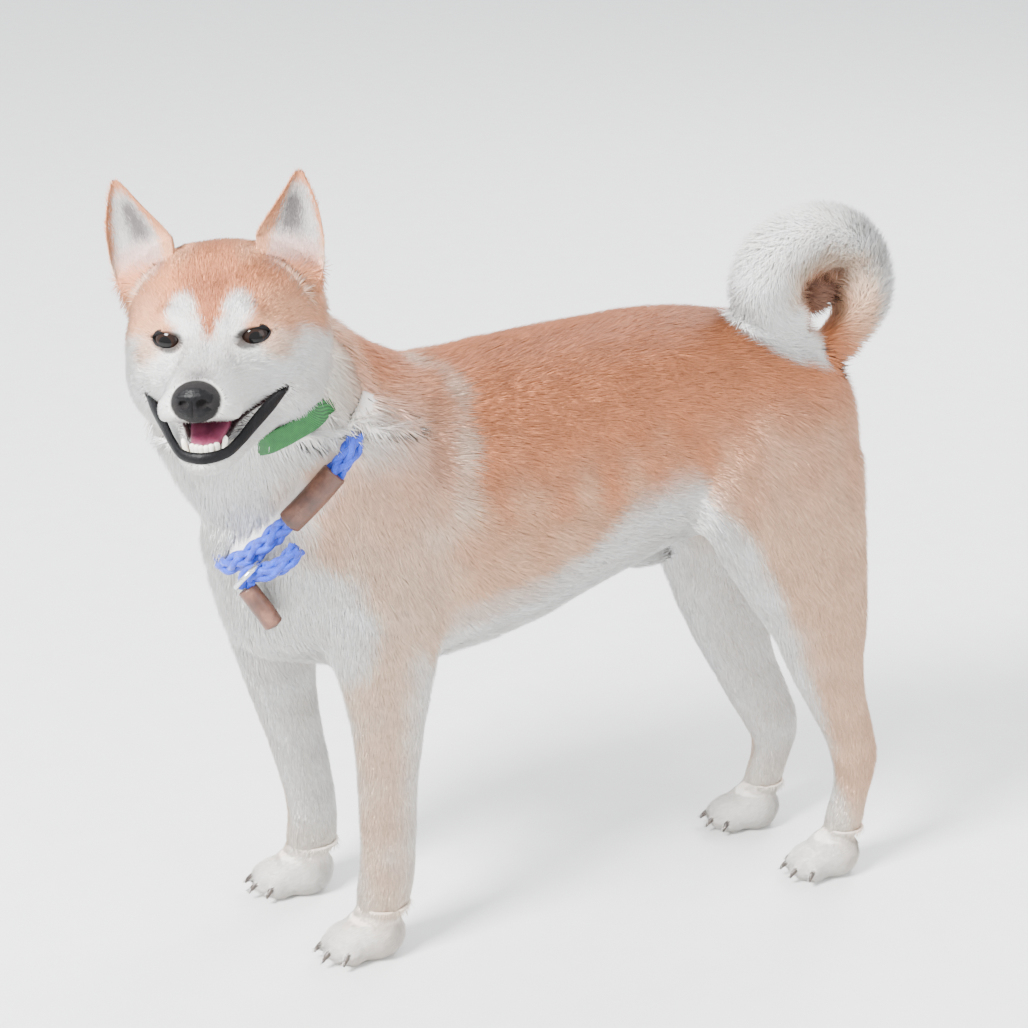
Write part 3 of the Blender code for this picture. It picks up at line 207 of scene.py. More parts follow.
# The crease behind the shoulder, where painted shade is laid in rust
SHOULDER_CREASE = ((0.0335, -0.1100, 0.3869), (0.0564, -0.1060, 0.3676), (0.0739, -0.1090, 0.3413))

HEAD_VOXEL, BODY_VOXEL, PAW_VOXEL = 0.0014, 0.0032, 0.0015
PIECE_TUFTS = 62000
# Bare skin round the eyes, nose and lips, and the highest place of a tuft's root over the floor
BARE_EYE, BARE_NOSE, BARE_LIP, BARE_SOLE = 0.0016, 0.0015, 0.0036, 0.0015
# Where the neck is creased, from the head's frame, and how far a tuft's tip may stand from the skin there
CREASE_FROM, CREASE_TO, CREASE_TIP = 0.030, 0.140, 0.0075
# How close to a worn piece a tuft may come
COLLAR_MARGIN, WORN_MARGIN, COLLAR_MIDDLE = 0.0045, 0.0012, 0.0042
TUFTS = 520000
SEED = 11


def srgb(*values):
    """A linear colour from the 0 to 255 numbers of a screen colour."""
    made = [v / 255 for v in values]
    return np.array([v / 12.92 if v <= 0.04045 else ((v + 0.055) / 1.055) ** 2.4 for v in made])


# The coat's colours
RED = srgb(222, 138, 92)
RUST = srgb(160, 92, 58)
TAN = srgb(232, 180, 144)
CREAM = srgb(242, 220, 198)
WHITE = srgb(246, 243, 238)
GREY = srgb(168, 160, 158)
SLATE = srgb(92, 82, 84)
PINK = srgb(222, 176, 162)
# Painted shade deep in the hole of the tail's curl
CURL_SHADE_BROWN = srgb(84, 54, 42)
BLACK = srgb(24, 21, 21)
# The mouth's own red, darkened with painted shade inside the open mouth
SHADED_MOUTH_RED = srgb(52, 22, 28)


def head_in_design():
    turn = Matrix.Rotation(math.radians(HEAD_TURN), 4, "Z")
    tilt = Matrix.Rotation(math.radians(HEAD_TILT), 4, "Y")
    lift = Matrix.Rotation(math.radians(HEAD_LIFT), 4, "X")
    return Matrix.Translation(HEAD_PLACE) @ turn @ tilt @ lift


def middle(node):
    low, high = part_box(node)
    return (Vector(low) + Vector(high)) / 2


# From the numbers above to the frame, found from where the left eye is
PLACE = Matrix.Translation(middle("eye_left") - head_in_design() @ EYE_CENTRE)
HEAD = PLACE @ head_in_design()


def moved(matrix, points):
    """An array of points taken through a matrix."""
    m = np.array(matrix)
    return np.asarray(points, float) @ m[:3, :3].T + m[:3, 3]


def turned(matrix, ways):
    return np.asarray(ways, float) @ np.array(matrix)[:3, :3].T


def unit(ways):
    return ways / np.maximum(np.linalg.norm(ways, axis=-1, keepdims=True), 1e-12)


def step(low, high, values):
    """0 below low and 1 above high, with a smooth rise between."""
    t = np.clip((values - low) / (high - low), 0, 1)
    return t * t * (3 - 2 * t)


def waves(points, size, seed, count=7):
    """A smooth field of about -1 to 1 made of plane waves of about this size."""
    rng = np.random.default_rng(seed)
    total = np.zeros(len(points))
    for _ in range(count):
        way = unit(rng.normal(size=3)) * rng.uniform(0.7, 1.4) * 2 * math.pi / size
        total += np.sin(points @ way + rng.uniform(0, 2 * math.pi))
    return total / math.sqrt(count)


# Meshes


def new_object(name, mesh):
    made = bpy.data.objects.new(name, mesh)
    bpy.context.scene.collection.objects.link(made)
    return made


def mesh_from(name, points, faces):
    mesh = bpy.data.meshes.new(name)
    mesh.from_pydata([tuple(p) for p in points], [], faces)
    mesh.update()
    return mesh


def evaluated(item):
    """The item's mesh with its modifiers applied, and the item removed."""
    depsgraph = bpy.context.evaluated_depsgraph_get()
    mesh = bpy.data.meshes.new_from_object(item.evaluated_get(depsgraph))
    bpy.data.objects.remove(item, do_unlink=True)
    return mesh


def points_of(mesh):
    made = np.empty(len(mesh.vertices) * 3)
    mesh.vertices.foreach_get("co", made)
    return made.reshape(-1, 3)


def normals_of(mesh):
    made = np.empty(len(mesh.vertices) * 3, np.float32)
    mesh.vertex_normals.foreach_get("vector", made)
    return made.reshape(-1, 3).astype(float)


def set_points(mesh, points):
    mesh.vertices.foreach_set("co", points.astype(np.float32).ravel())
    mesh.update()


def neighbours_of(mesh):
    """For smoothing: the two ends of each edge, and how many edges meet at each vertex."""
    pairs = np.empty(len(mesh.edges) * 2, np.int64)
    mesh.edges.foreach_get("vertices", pairs)
    pairs = pairs.reshape(-1, 2)
    count = np.bincount(pairs.ravel(), minlength=len(mesh.vertices))
    return pairs, np.maximum(count, 1)[:, None]


def smoothed(values, pairs, count, times, share=0.5):
    """Values at the vertices, each drawn towards the mean of its neighbours."""
    size = len(values)
    for _ in range(times):
        total = np.empty_like(values)
        for k in range(values.shape[1]):
            total[:, k] = np.bincount(pairs[:, 0], values[pairs[:, 1], k], size)
            total[:, k] += np.bincount(pairs[:, 1], values[pairs[:, 0], k], size)
        values = values + (total / count - values) * share
    return values


def remeshed(nodes, extra, voxel, grown=0.0004):
    """One closed skin over copies of the nodes, each grown a little so that the gaps close."""
    whole = bmesh.new()
    for node in nodes:
        part = bmesh.new()
        part.from_mesh(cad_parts[node].data)
        bmesh.ops.remove_doubles(part, verts=part.verts, dist=0.000002)
        bmesh.ops.recalc_face_normals(part, faces=part.faces)
        part.normal_update()
        for vert in part.verts:
            vert.co += vert.normal * grown
        scratch = bpy.data.meshes.new("part")
        part.to_mesh(scratch)
        part.free()
        whole.from_mesh(scratch)
        bpy.data.meshes.remove(scratch)
    for mesh in extra:
        whole.from_mesh(mesh)
    mesh = bpy.data.meshes.new("whole")
    whole.to_mesh(mesh)
    whole.free()
    item = new_object("whole", mesh)
    cut = item.modifiers.new("Remesh", "REMESH")
    cut.mode = "VOXEL"
    cut.voxel_size = voxel
    return evaluated(item)


def curve_rows(rows, steps):
    """Rows of numbers with steps - 1 more between each pair, on a Catmull-Rom curve."""
    rows = np.asarray(rows, float)
    ends = np.vstack([2 * rows[0] - rows[1], rows, 2 * rows[-1] - rows[-2]])
    made = []
    for i in range(len(rows) - 1):
        a, b, c, d = ends[i : i + 4]
        for t in np.arange(steps) / steps:
            made.append(0.5 * (2 * b + (c - a) * t + (2 * a - 5 * b + 4 * c - d) * t**2
                               + (3 * b - a - 3 * c + d) * t**3))
    made.append(rows[-1])
    return np.array(made)


def frames_along(path, side):
    """Tangent, side and third way at each point of a path."""
    tangents = unit(np.gradient(path, axis=0))
    across = unit(side - tangents * (tangents @ side)[:, None])
    return tangents, across, np.cross(tangents, across)


def tube_mesh(name, path, radii, side=(1.0, 0.0, 0.2), around=24, caps=0.6):
    """A closed tube along a path with a radius at each point and domed ends."""
    tangents, across, over = frames_along(path, np.array(side))
    angles = np.arange(around) * 2 * math.pi / around
    rings = path[:, None] + radii[:, None, None] * (
        across[:, None] * np.cos(angles)[:, None] + over[:, None] * np.sin(angles)[:, None])
    points = np.vstack([rings.reshape(-1, 3), path[0] - tangents[0] * radii[0] * caps,
                        path[-1] + tangents[-1] * radii[-1] * caps])
    return closed_loft(name, points, len(path), around)


# The face's own places


def mirrored(point, side):
    return Vector((point[0] * side, point[1], point[2]))


def lid_frame(side):
    """The plane of an eye's opening: X outward along it, Y into the head."""
    place = HEAD @ Matrix.Translation(mirrored(LID_CENTRE, side))
    place = place @ Matrix.Rotation(math.radians(LID_TURN * side), 4, "Z")
    return place @ Matrix.Rotation(math.radians(-LID_SLANT * side), 4, "Y")


def almond(count, side):
    """Points round the edge of an eye's opening, and the way outward at each."""
    angles = np.arange(count) * 2 * math.pi / count
    out, up = np.cos(angles), np.sin(angles)
    high = LID_HALF_HEIGHT * np.sign(up) * np.abs(up) ** 1.25 * (1 - LID_SKEW * out * side)
    edge = np.stack([LID_HALF_WIDTH * out, high], 1)
    return edge, unit(np.stack([out * LID_HALF_HEIGHT, up * LID_HALF_WIDTH], 1))


def eye_gap(points):
    """How far points of the frame lie outside the nearer eye's opening, below 0 inside it."""
    made = np.full(len(points), 1.0)
    for side in (1, -1):
        edge, _ = almond(72, side)
        near = np.flatnonzero(np.linalg.norm(points - np.array(lid_frame(side).translation), axis=1) < 0.030)
        if not len(near):
            continue
        local = moved(lid_frame(side).inverted(), points[near])
        flat = local[:, (0, 2)]
        gap = np.linalg.norm(flat[:, None] - edge[None], axis=2).min(axis=1)
        u = np.clip(np.abs(flat[:, 0]) / LID_HALF_WIDTH, 0, 1)
        high = LID_HALF_HEIGHT * (1 - LID_SKEW * flat[:, 0] / LID_HALF_WIDTH * side)
        inside = np.abs(flat[:, 1]) < high * (1 - u**2) ** 0.625
        gap = np.where(inside, -gap, gap) + np.maximum(local[:, 1] - 0.012, 0)
        made[near] = np.minimum(made[near], gap)
    return made


def line_gap(points, line):
    """Distance from points to a line through several places."""
    made = np.full(len(points), np.inf)
    line = np.asarray(line, float)
    for a, b in zip(line, line[1:]):
        share = np.clip((points - a) @ (b - a) / np.sum((b - a) ** 2), 0, 1)
        made = np.minimum(made, np.linalg.norm(points - a - share[:, None] * (b - a), axis=1))
    return made


def lip_gap(local):
    """How far points in the head's frame lie from the lower lip's edge."""
    return line_gap(np.abs(local) * (1, 0, 0) + local * (0, 1, 1), LIP)


def nose_gap(local):
    """How far points in the head's frame lie outside the nose, about."""
    centre, sizes = (np.array(v) for v in NOSE)
    return (np.linalg.norm((local - centre) / sizes, axis=1) - 1) * sizes.min()


def ear_axes(side):
    inner, outer, tip = (mirrored(p, side) for p in (EAR_INNER, EAR_OUTER, EAR_TIP))
    base = (inner + outer) / 2
    up = (tip - base).normalized()
    along = (outer - inner).normalized()
    level = (along - up * along.dot(up)).normalized()
    forward = along.cross(up).normalized() * side
    return base, tip, up, along, level, forward


def ear_places(local, side):
    """How far up an ear, across it as a share of its half width, and how far from its plane."""
    base, tip, up, _, level, forward = (np.array(v) for v in ear_axes(side))
    from_base = local - base
    up_share = from_base @ up / np.linalg.norm(tip - base)
    rows = np.array(EAR_ROWS)
    half = np.interp(up_share, rows[:, 0], rows[:, 1])
    return up_share, from_base @ level / half, from_base @ forward


def ear_share(local):
    """1 on the ears, 0 off them, and the way up them."""
    share, ups = np.zeros(len(local)), np.zeros((len(local), 3))
    for side in (1, -1):
        t, across, out = ear_places(local, side)
        on = step(-0.12, 0.10, t) * step(1.6, 1.2, np.abs(across)) * step(0.022, 0.016, np.abs(out))
        on = on * (local[:, 0] * side > 0)
        ups += on[:, None] * turned(HEAD, [ear_axes(side)[2]])
        share = np.maximum(share, on)
    return share, ups


def ear_mesh(side, around=22, steps=4):
    """A closed cupped ear, open to the front."""
    base, tip, up, along, level, forward = ear_axes(side)
    rings = []
    for t, half, back, cup in curve_rows(EAR_ROWS, steps):
        across = along.lerp(level, min(max(t * 1.4, 0), 1)).normalized()
        centre = base + (tip - base) * t + across * 0.0016 * math.sin(math.pi * max(t, 0))
        ring = []
        for k in range(around):
            angle = math.pi * k / (around - 1)
            depth = EAR_EDGE + (back - EAR_EDGE) * math.sin(angle)
            ring.append(centre + across * half * math.cos(angle) - forward * depth)
        for k in range(around):
            angle = math.pi * (1 - k / (around - 1))
            depth = -EAR_EDGE + (cup + EAR_EDGE) * math.sin(angle) ** 0.8
            ring.append(centre + across * half * math.cos(angle) - forward * depth)
        rings.append([HEAD @ p for p in ring])
    points = [p for ring in rings for p in ring]
    points += [sum(rings[0], Vector()) / len(rings[0]), sum(rings[-1], Vector()) / len(rings[-1])
               + HEAD.to_3x3() @ up * 0.0014]
    return closed_loft("ear", np.array(points), len(rings), 2 * around)


def closed_loft(name, points, rows, around):
    """Rings of points joined into a closed mesh whose last two points cap its ends."""
    faces = []
    for r in range(rows - 1):
        for k in range(around):
            a, b = r * around + k, r * around + (k + 1) % around
            faces.append((a, b, b + around, a + around))
    last = (rows - 1) * around
    for k in range(around):
        faces.append((len(points) - 2, (k + 1) % around, k))
        faces.append((len(points) - 1, last + k, last + (k + 1) % around))
    mesh = mesh_from(name, points, faces)
    outward(mesh)
    return mesh


def outward(mesh):
    whole = bmesh.new()
    whole.from_mesh(mesh)
    bmesh.ops.recalc_face_normals(whole, faces=whole.faces)
    whole.to_mesh(mesh)
    whole.free()


# How the coat lies


def tail_path():
    rows = curve_rows(TAIL, 8)
    return moved(PLACE, rows[:, :3]), rows[:, 3]


def all_guides():
    """Every guide as a row: place, way, reach, depth, length, width, all in metres in the frame."""
    rows = []

    def add(matrix, point, way, scale, reach, coat):
        at = moved(matrix, [[v * scale for v in point]])[0]
        lie = unit(turned(matrix, [way]))[0]
        rows.append([*at, *lie, reach / 1000, *(v / 1000 for v in coat)])

    for point, way, reach, *coat in BODY_GUIDES:
        for side in (1, -1):
            add(PLACE, (point[0] * side, *point[1:]), (way[0] * side, *way[1:]), 1, reach, coat)
    for point, way, reach, *coat in HEAD_GUIDES:
        for side in (1, -1):
            add(HEAD, (point[0] * side, *point[1:]), (way[0] * side, *way[1:]), 0.001, reach, coat)
    for leg in LEGS:
        for here, after, coat in zip(leg, leg[1:], LEG_COAT):
            way = np.array(after) - np.array(here)
            for share in (0.0, 0.5):
                add(PLACE, np.array(here) + way * share, way, 1, 20, coat)
    for _, (x, y), _, _ in PAWS:
        add(PLACE, (x, y - 0.012, 0.018), (0, -1, -0.35), 1, 16, PAW_COAT)
    return np.array(rows)


def coat_at(points, normals):
    """How the coat lies at points of the skin: way along it, depth, length and width of a tuft."""
    guides = all_guides()
    total = np.zeros((len(points), 6))
    weight = np.zeros(len(points))
    for row in guides:
        distance = np.linalg.norm(points - row[:3], axis=1) / row[6]
        share = np.exp(-np.minimum(distance, 6.0) ** 2) + 1e-9 / (1 + distance**4)
        total += share[:, None] * np.concatenate([row[3:6], row[7:10]])
        weight += share
    total /= weight[:, None]
    way, sizes = total[:, :3], total[:, 3:]
    path, radii = tail_path()
    tree = KDTree(len(path))
    for k, p in enumerate(path):
        tree.insert(p, k)
    tree.balance()
    tangents = unit(np.gradient(path, axis=0))
    near = np.array([tree.find(p)[1:] for p in points])
    index = near[:, 0].astype(int)
    reach = np.maximum(radii[index], 0.024)
    on_tail = step(1.15, 0.85, near[:, 1] / reach) * step(14, 24, index)
    way = way * (1 - on_tail[:, None]) + tangents[index] * on_tail[:, None]
    brush = reach * (1 - TAIL_CORE)
    inner = np.sum(normals * unit(np.array(PLACE @ TAIL_CURL) - points), axis=1)
    grown = 1 + 1.1 * step(0.3, 0.9, inner)
    tail_sizes = np.stack([brush * grown, brush * 1.25, np.full(len(points), 0.0009)], 1)
    sizes = sizes * (1 - on_tail[:, None]) + tail_sizes * on_tail[:, None]
    on_ear, ear_up = ear_share(moved(HEAD.inverted(), points))
    way = way * (1 - on_ear[:, None]) + ear_up * on_ear[:, None]
    sizes = sizes * (1 - on_ear[:, None]) + np.array(EAR_COAT) / 1000 * on_ear[:, None]
    near_face = np.minimum(eye_gap(points), lip_gap(moved(HEAD.inverted(), points)))
    sizes = sizes * (0.35 + 0.65 * step(0.001, 0.009, near_face))[:, None]
    way = way - normals * np.sum(way * normals, axis=1)[:, None]
    return unit(way), sizes[:, 0], sizes[:, 1], sizes[:, 2], on_tail


# The skin


def in_mouth(local):
    """1 inside the open mouth, from points in the head's frame."""
    y, z = local[:, 1] * 1000, local[:, 2] * 1000
    top = np.interp(y, *zip(*MOUTH_TOP))
    low = np.interp(y, *zip(*MOUTH_LOW))
    inside = step(-1.5, 0.8, np.minimum(top - z + 0.8, z - low + 0.8))
    return inside * step(6, 2, y) * step(0.040, 0.034, np.abs(local[:, 0]))


def opened_eyes(points, gap):
    """Skin drawn in behind the eyeballs inside their openings and laid over them outside."""
    for side in (1, -1):
        centre = np.array(HEAD @ mirrored(EYE_CENTRE, side))
        out = points - centre
        reach = np.linalg.norm(out, axis=1)
        near = (reach < 0.024) & (gap < 0.012)
        inside = step(0.0012, -0.0004, gap) * near
        deep = np.minimum(reach, EYE_RADIUS - 0.0030)
        over = np.maximum(reach, EYE_RADIUS + 0.0006 * step(0.012, 0.004, gap))
        wanted = np.where(near, over * (1 - inside) + deep * inside, reach)
        points = centre + out * (wanted / np.maximum(reach, 1e-9))[:, None]
    return points


def skin_shell(nodes, extra, voxel, kind):
    mesh = remeshed(nodes, extra, voxel)
    pairs, count = neighbours_of(mesh)
    points = points_of(mesh)
    local = moved(HEAD.inverted(), points)
    soft = smoothed(points, pairs, count, {"head": 30, "body": 12, "paw": 4}[kind])
    if kind == "head":
        near_eye = np.min([np.linalg.norm(local - np.array(mirrored(EYE_CENTRE, s)), axis=1)
                           for s in (1, -1)], axis=0)
        sharp = np.maximum(step(0.030, 0.018, near_eye), step(-0.018, -0.034, local[:, 1]))
        sharp = np.maximum(sharp, in_mouth(local))
        crisp = smoothed(points, pairs, count, 5)
        soft = soft + (crisp - soft) * sharp[:, None]
    set_points(mesh, soft)
    normals = normals_of(mesh)
    _, depth, _, _, on_tail = coat_at(soft, normals)
    depth = depth * (1 - on_tail)
    local = moved(HEAD.inverted(), soft)
    if kind == "head":
        depth = depth * (1 - in_mouth(local))
        depth = depth + 0.0022 * step(0.001, -0.001, nose_gap(local))
    if kind == "body":
        depth = depth + 0.004 * step(0.004, 0.016, np.minimum(0.078 - local[:, 1], local[:, 2] + 0.070))
        depth = depth + 0.003 * step(0.036, 0.028, soft[:, 2])
    depth = smoothed(depth[:, None], pairs, count, 14 if kind == "body" else 6)
    for _ in range(5):
        made = soft - normals * depth
        set_points(mesh, made)
        over = (np.sum(normals_of(mesh) * normals, axis=1) < 0.35).astype(float)[:, None]
        if not over.any():
            break
        depth = depth * (1 - np.clip(3 * smoothed(over, pairs, count, 4), 0, 1))
    if kind == "head":
        made = opened_eyes(made, eye_gap(made))
    set_points(mesh, made)
    return mesh


def tail_core():
    path, radii = tail_path()
    return tube_mesh("core", path, radii * TAIL_CORE, around=28)


def joined(name, meshes):
    whole = bmesh.new()
    for mesh in meshes:
        whole.from_mesh(mesh)
    mesh = bpy.data.meshes.new(name)
    whole.to_mesh(mesh)
    whole.free()
    mesh.shade_smooth()
    return mesh


def skin_mesh():
    ears = [ear_mesh(1), ear_mesh(-1)]
    head = skin_shell(HEAD_FLESH + HEAD_FILLING, ears, HEAD_VOXEL, "head")
    line, hidden = rope_line(0, 357)
    filling = tube_mesh("filling", np.vstack([line, line[:1]]), np.append(0.0066 - 0.0012 * hidden, 0.0066))
    # A plug of skin closes the tail's curl; the coat on it is painted brown as the shade deep in the curl's hole.
    curl_shade_plug = [PLACE @ (TAIL_CURL + Vector((x, 0, 0))) for x in (-0.006, 0.0, 0.006)]
    curl_shade_plug = tube_mesh("curl_shade_plug", np.array([tuple(p) for p in curl_shade_plug]), np.full(3, 0.014), side=(0.0, 0.0, 1.0))
    body = skin_shell(BODY_FLESH + BODY_FILLING + ("head", "jaw"), [tail_core(), filling, curl_shade_plug], BODY_VOXEL,
                      "body")
    paws = [skin_shell((paw[0],), [], PAW_VOXEL, "paw") for paw in PAWS]
    first = len(body.polygons)
    return joined("skin", [body, head, *paws, *ears]), (first, first + len(head.polygons))


# Markings


def blob(points, centre, size, edge=0.3):
    """1 in an ellipsoid about a centre, 0 outside it, with a soft edge as a share of its size."""
    distance = np.linalg.norm((points - np.array(centre)) / np.array(size), axis=1)
    return step(1 + edge, 1 - edge, distance)


def mixed(colour, other, share):
    return colour + (other - colour) * np.clip(share, 0, 1)[:, None]


def body_markings(points, normals):
    """Colours of the body and legs, from points in the numbers' frame."""
    x, y, z = points.T
    side = np.abs(x)
    ragged = 0.006 * waves(points, 0.030, 3)
    y = y + np.where(x < 0, 0.030, 0.0) * step(0.25, 0.20, z) * step(0.0, -0.05, y)
    y = y + np.where(x < 0, 0.028, 0.0) * step(0.28, 0.20, z) * step(0.0, 0.05, y)
    colour = np.tile(TAN, (len(points), 1))
    colour = mixed(colour, RED, step(0.27, 0.36, z + 2 * ragged))
    saddle = step(0.375, 0.400, z + 0.10 * side + ragged) * step(-0.11, -0.06, y) * step(0.16, 0.11, y)
    colour = mixed(colour, RUST, 0.30 * saddle)
    shoulder = step(-0.075, -0.115, y) * step(0.40, 0.36, z + 0.3 * (y + 0.11))
    colour = mixed(colour, CREAM, 0.42 * shoulder)
    thigh = step(0.07, 0.12, y) * step(0.37, 0.33, z)
    colour = mixed(colour, mixed(TAN[None], CREAM, np.array([0.25])), 0.55 * thigh)
    folded = np.abs(points) * (1, 0, 0) + points * (0, 1, 1)
    ridge = line_gap(folded, SHOULDER_RIDGE)
    colour = mixed(colour, CREAM, 0.60 * step(0.012, 0.002, ridge + ragged * 0.5))
    # Rust along the crease behind the shoulder is painted shade in the crease.
    crease_shade = line_gap(folded, SHOULDER_CREASE)
    colour = mixed(colour, RUST, 0.35 * step(0.010, 0.002, crease_shade))
    neck = step(-0.135, -0.170, y + 0.10 * (z - 0.40)) * step(0.33, 0.36, z)
    colour = mixed(colour, mixed(CREAM[None], TAN, np.array([0.45])), 0.75 * neck)
    belly = step(0.012, -0.012, z + ragged - np.interp(y, *zip(*FLANK_BORDER))) * step(0.10, 0.07, y)
    colour = mixed(colour, WHITE, belly * 0.9 * step(-0.14, -0.11, y))
    under = step(-0.15, -0.55, normals[:, 2]) * step(0.16, 0.19, z)
    colour = mixed(colour, WHITE, under * 0.95)
    border = np.interp(z, *zip(*BREAST_BORDER)) + 0.30 * np.maximum(0.062 - side, 0)
    breast = step(0.017, -0.017, y + 1.2 * ragged - border) * step(0.40, 0.36, z)
    colour = mixed(colour, WHITE, breast * np.interp(z, (0.10, 0.19), (0.75, 1.0)))
    inner = step(0.2, -0.4, normals[:, 0] * np.sign(x)) * step(0.27, 0.22, z)
    colour = mixed(colour, WHITE, inner * 0.85)
    hind = step(0.02, 0.06, y) * step(0.33, 0.29, z)
    stripe = step(0.008, -0.006, y + 0.6 * ragged - np.interp(z, *zip(*STRIPE_BORDER))) * hind
    colour = mixed(colour, WHITE, stripe)
    colour = mixed(colour, CREAM, 0.55 * step(0.075, 0.035, z))
    colour = mixed(colour, WHITE, 0.55 * step(0.040, 0.020, z))
    sheath = blob(points, (0.0, 0.083, 0.234), (0.007, 0.007, 0.009), 0.6)
    return mixed(colour, SLATE, 0.8 * sheath)


def head_markings(points):
    """Colours of the head and neck, from points in the head's frame, in metres."""
    p = points * 1000
    x, y, z = p.T
    side = np.abs(x)
    ragged = waves(p, 16, 5)
    colour = np.tile(RED, (len(p), 1))
    colour = mixed(colour, TAN, 0.45 * step(16, 40, side) * step(40, 16, z))
    crown = blob(p, (0, 18, 34), (18, 24, 16), 0.9)
    colour = mixed(colour, RUST, 0.30 * crown)
    lower = step(5, -7, z - 0.10 * (side - 30) + 0.35 * (y - 5) * (y > 5) * 0.1 + 1.6 * ragged)
    colour = mixed(colour, WHITE, lower)
    colour = mixed(colour, WHITE, step(-4, -13, y - 0.3 * z))
    spots = np.zeros(len(p))
    for s in (1, -1):
        spots = np.maximum(spots, blob(p, (s * 16.5, 3, 15), (8.5, 14, 9.5), 0.35))
        spots = np.maximum(spots, blob(p, (s * 12.5, -6, 5), (9, 10, 9), 0.35))
        near_ear = line_gap(p, np.array([(38, 26, 43), (60, 32, 18)]) * (s, 1, 1))
        colour = mixed(colour, CREAM, 0.60 * step(9, 3, near_ear + ragged))
    colour = mixed(colour, WHITE, spots)
    half = np.interp(z, (0, 8, 18, 30), (1.8, 3.2, 6.0, 13))
    streak = step(half * 1.5, half * 0.4, side + 0.5 * ragged) * step(-3, 4, z) * (y < 45)
    colour = mixed(colour, RED, streak)
    colour = mixed(colour, RUST, streak * step(44, 26, z) * 0.75)
    for s in (1, -1):
        colour = mixed(colour, TAN, 0.80 * blob(p, (s * 38, 1, -6), (8, 12, 8), 0.6))
        colour = mixed(colour, TAN, 0.35 * blob(p, (s * 30, 0, 8), (9, 8, 4), 0.6))
        # A grey line from each eye's inner corner down the side of the muzzle.
        eye_to_muzzle_line = line_gap(p, np.array([(12.5, -7, 0), (13.5, -14, -6), (15, -22, -15)]) * (s, 1, 1))
        colour = mixed(colour, GREY, 0.55 * step(4.0, 1.0, eye_to_muzzle_line))
        outer = line_gap(p, np.array([(33, 1, 1.5), (40, 6, 4.0)]) * (s, 1, 1))
        colour = mixed(colour, BLACK, 0.8 * step(2.0, 0.8, outer + 0.12 * (side - 33)))
    neck = step(44, 66, y + 0.5 * np.maximum(-z - 10, 0)) * step(-70, -40, z)
    colour = mixed(colour, CREAM, neck * 0.6)
    colour = mixed(colour, SLATE, 0.7 * blob(p, (0.6, -52, -17), (8, 10, 9), 0.9))
    colour = mixed(colour, BLACK, step(4.4, 3.2, lip_gap(points) * 1000 + 0.4 * ragged))
    colour = mixed(colour, BLACK, 0.9 * step(2.4, 0.8, eye_gap(moved(HEAD, points)) * 1000))
    return mixed(colour, BLACK, step(1.6, 0.6, nose_gap(points) * 1000))


def ear_markings(local, normals, colour):
    """The ears: red behind and at the rim; in the cup, pale hair greyed with painted shade, darker painted shade down
    its middle, and a pink base.
    """
    for side in (1, -1):
        t, across, _ = ear_places(local, side)
        on = ear_share(local)[0] * (local[:, 0] * side > 0)
        forward = turned(HEAD, [ear_axes(side)[5]])[0]
        made = mixed(np.tile(RED, (len(local), 1)), TAN, 0.2 + 0.3 * step(0.6, 0.2, t))
        made = mixed(made, CREAM, 0.8 * step(0.25, 0.05, t) * step(0.3, 0.8, across))
        rim = np.where(across < 0, 0.66, 0.96)
        cup = step(-0.05, 0.35, normals @ forward) * step(rim, rim - 0.20, np.abs(across)) * step(0.93, 0.76, t)
        # The cup's pale hair is greyed: partly the hair's own off-white, partly painted shade in the hollow cup.
        inside = np.tile(mixed(WHITE[None], GREY, np.array([0.45]))[0], (len(local), 1))
        # Slate down the cup's middle is painted shade where the cup is deepest.
        dark = step(0.62, 0.10, np.abs(across + 0.05)) * step(0.16, 0.34, t) * step(0.86, 0.62, t)
        inside = mixed(inside, SLATE, 0.85 * dark)
        inside = mixed(inside, PINK, 0.85 * step(0.30, 0.12, t))
        colour = mixed(colour, mixed(made, inside, cup), on)
    return colour


def tail_markings(points, colour):
    path, radii = tail_path()
    line = moved(PLACE.inverted(), path)
    tree = KDTree(len(line))
    for k, p in enumerate(line):
        tree.insert(p, k)
    tree.balance()
    near = np.array([tree.find(p)[1:] for p in points])
    index = near[:, 0].astype(int)
    on_tail = step(1.5, 1.2, near[:, 1] / np.maximum(radii[index], 0.024)) * step(10, 20, index)
    out = unit(points - line[index])
    rim = np.sum(out * unit(line[index] - np.array(TAIL_CURL)), axis=1)
    low = step(34, 16, index)
    made = mixed(np.tile(mixed(CREAM[None], TAN, np.array([0.35]))[0], (len(points), 1)), TAN, low)
    made = mixed(made, WHITE, step(-0.55, 0.30, rim - 0.45 * low + 0.1 * waves(points, 0.02, 4)))
    # Toward the curl's middle the coat turns red, partly the tail's own red and partly painted shade, and brown
    # deepest in the hole, which is painted shade.
    hole = np.linalg.norm((points - np.array(TAIL_CURL)) * (0.2, 1, 1), axis=1)
    made = mixed(made, RED, 0.7 * step(0.030, 0.018, hole))
    made = mixed(made, CURL_SHADE_BROWN, 0.85 * step(0.020, 0.012, hole))
    return mixed(colour, made, on_tail)


def markings(points, normals):
    """The coat's colour at points of the frame."""
    inverse = PLACE.inverted()
    design = moved(inverse, points)
    local = moved(HEAD.inverted(), points)
    body = body_markings(design, turned(inverse, normals))
    head = head_markings(local)
    share = step(0.080, 0.050, local[:, 1]) * step(-0.095, -0.065, local[:, 2])
    colour = mixed(body, head, share)
    colour = ear_markings(local, normals, colour)
    colour = tail_markings(design, colour)
    # Inside the open mouth the coat's colours give way to the mouth's red darkened with painted shade.
    return mixed(colour, SHADED_MOUTH_RED, in_mouth(local))


# Tufts


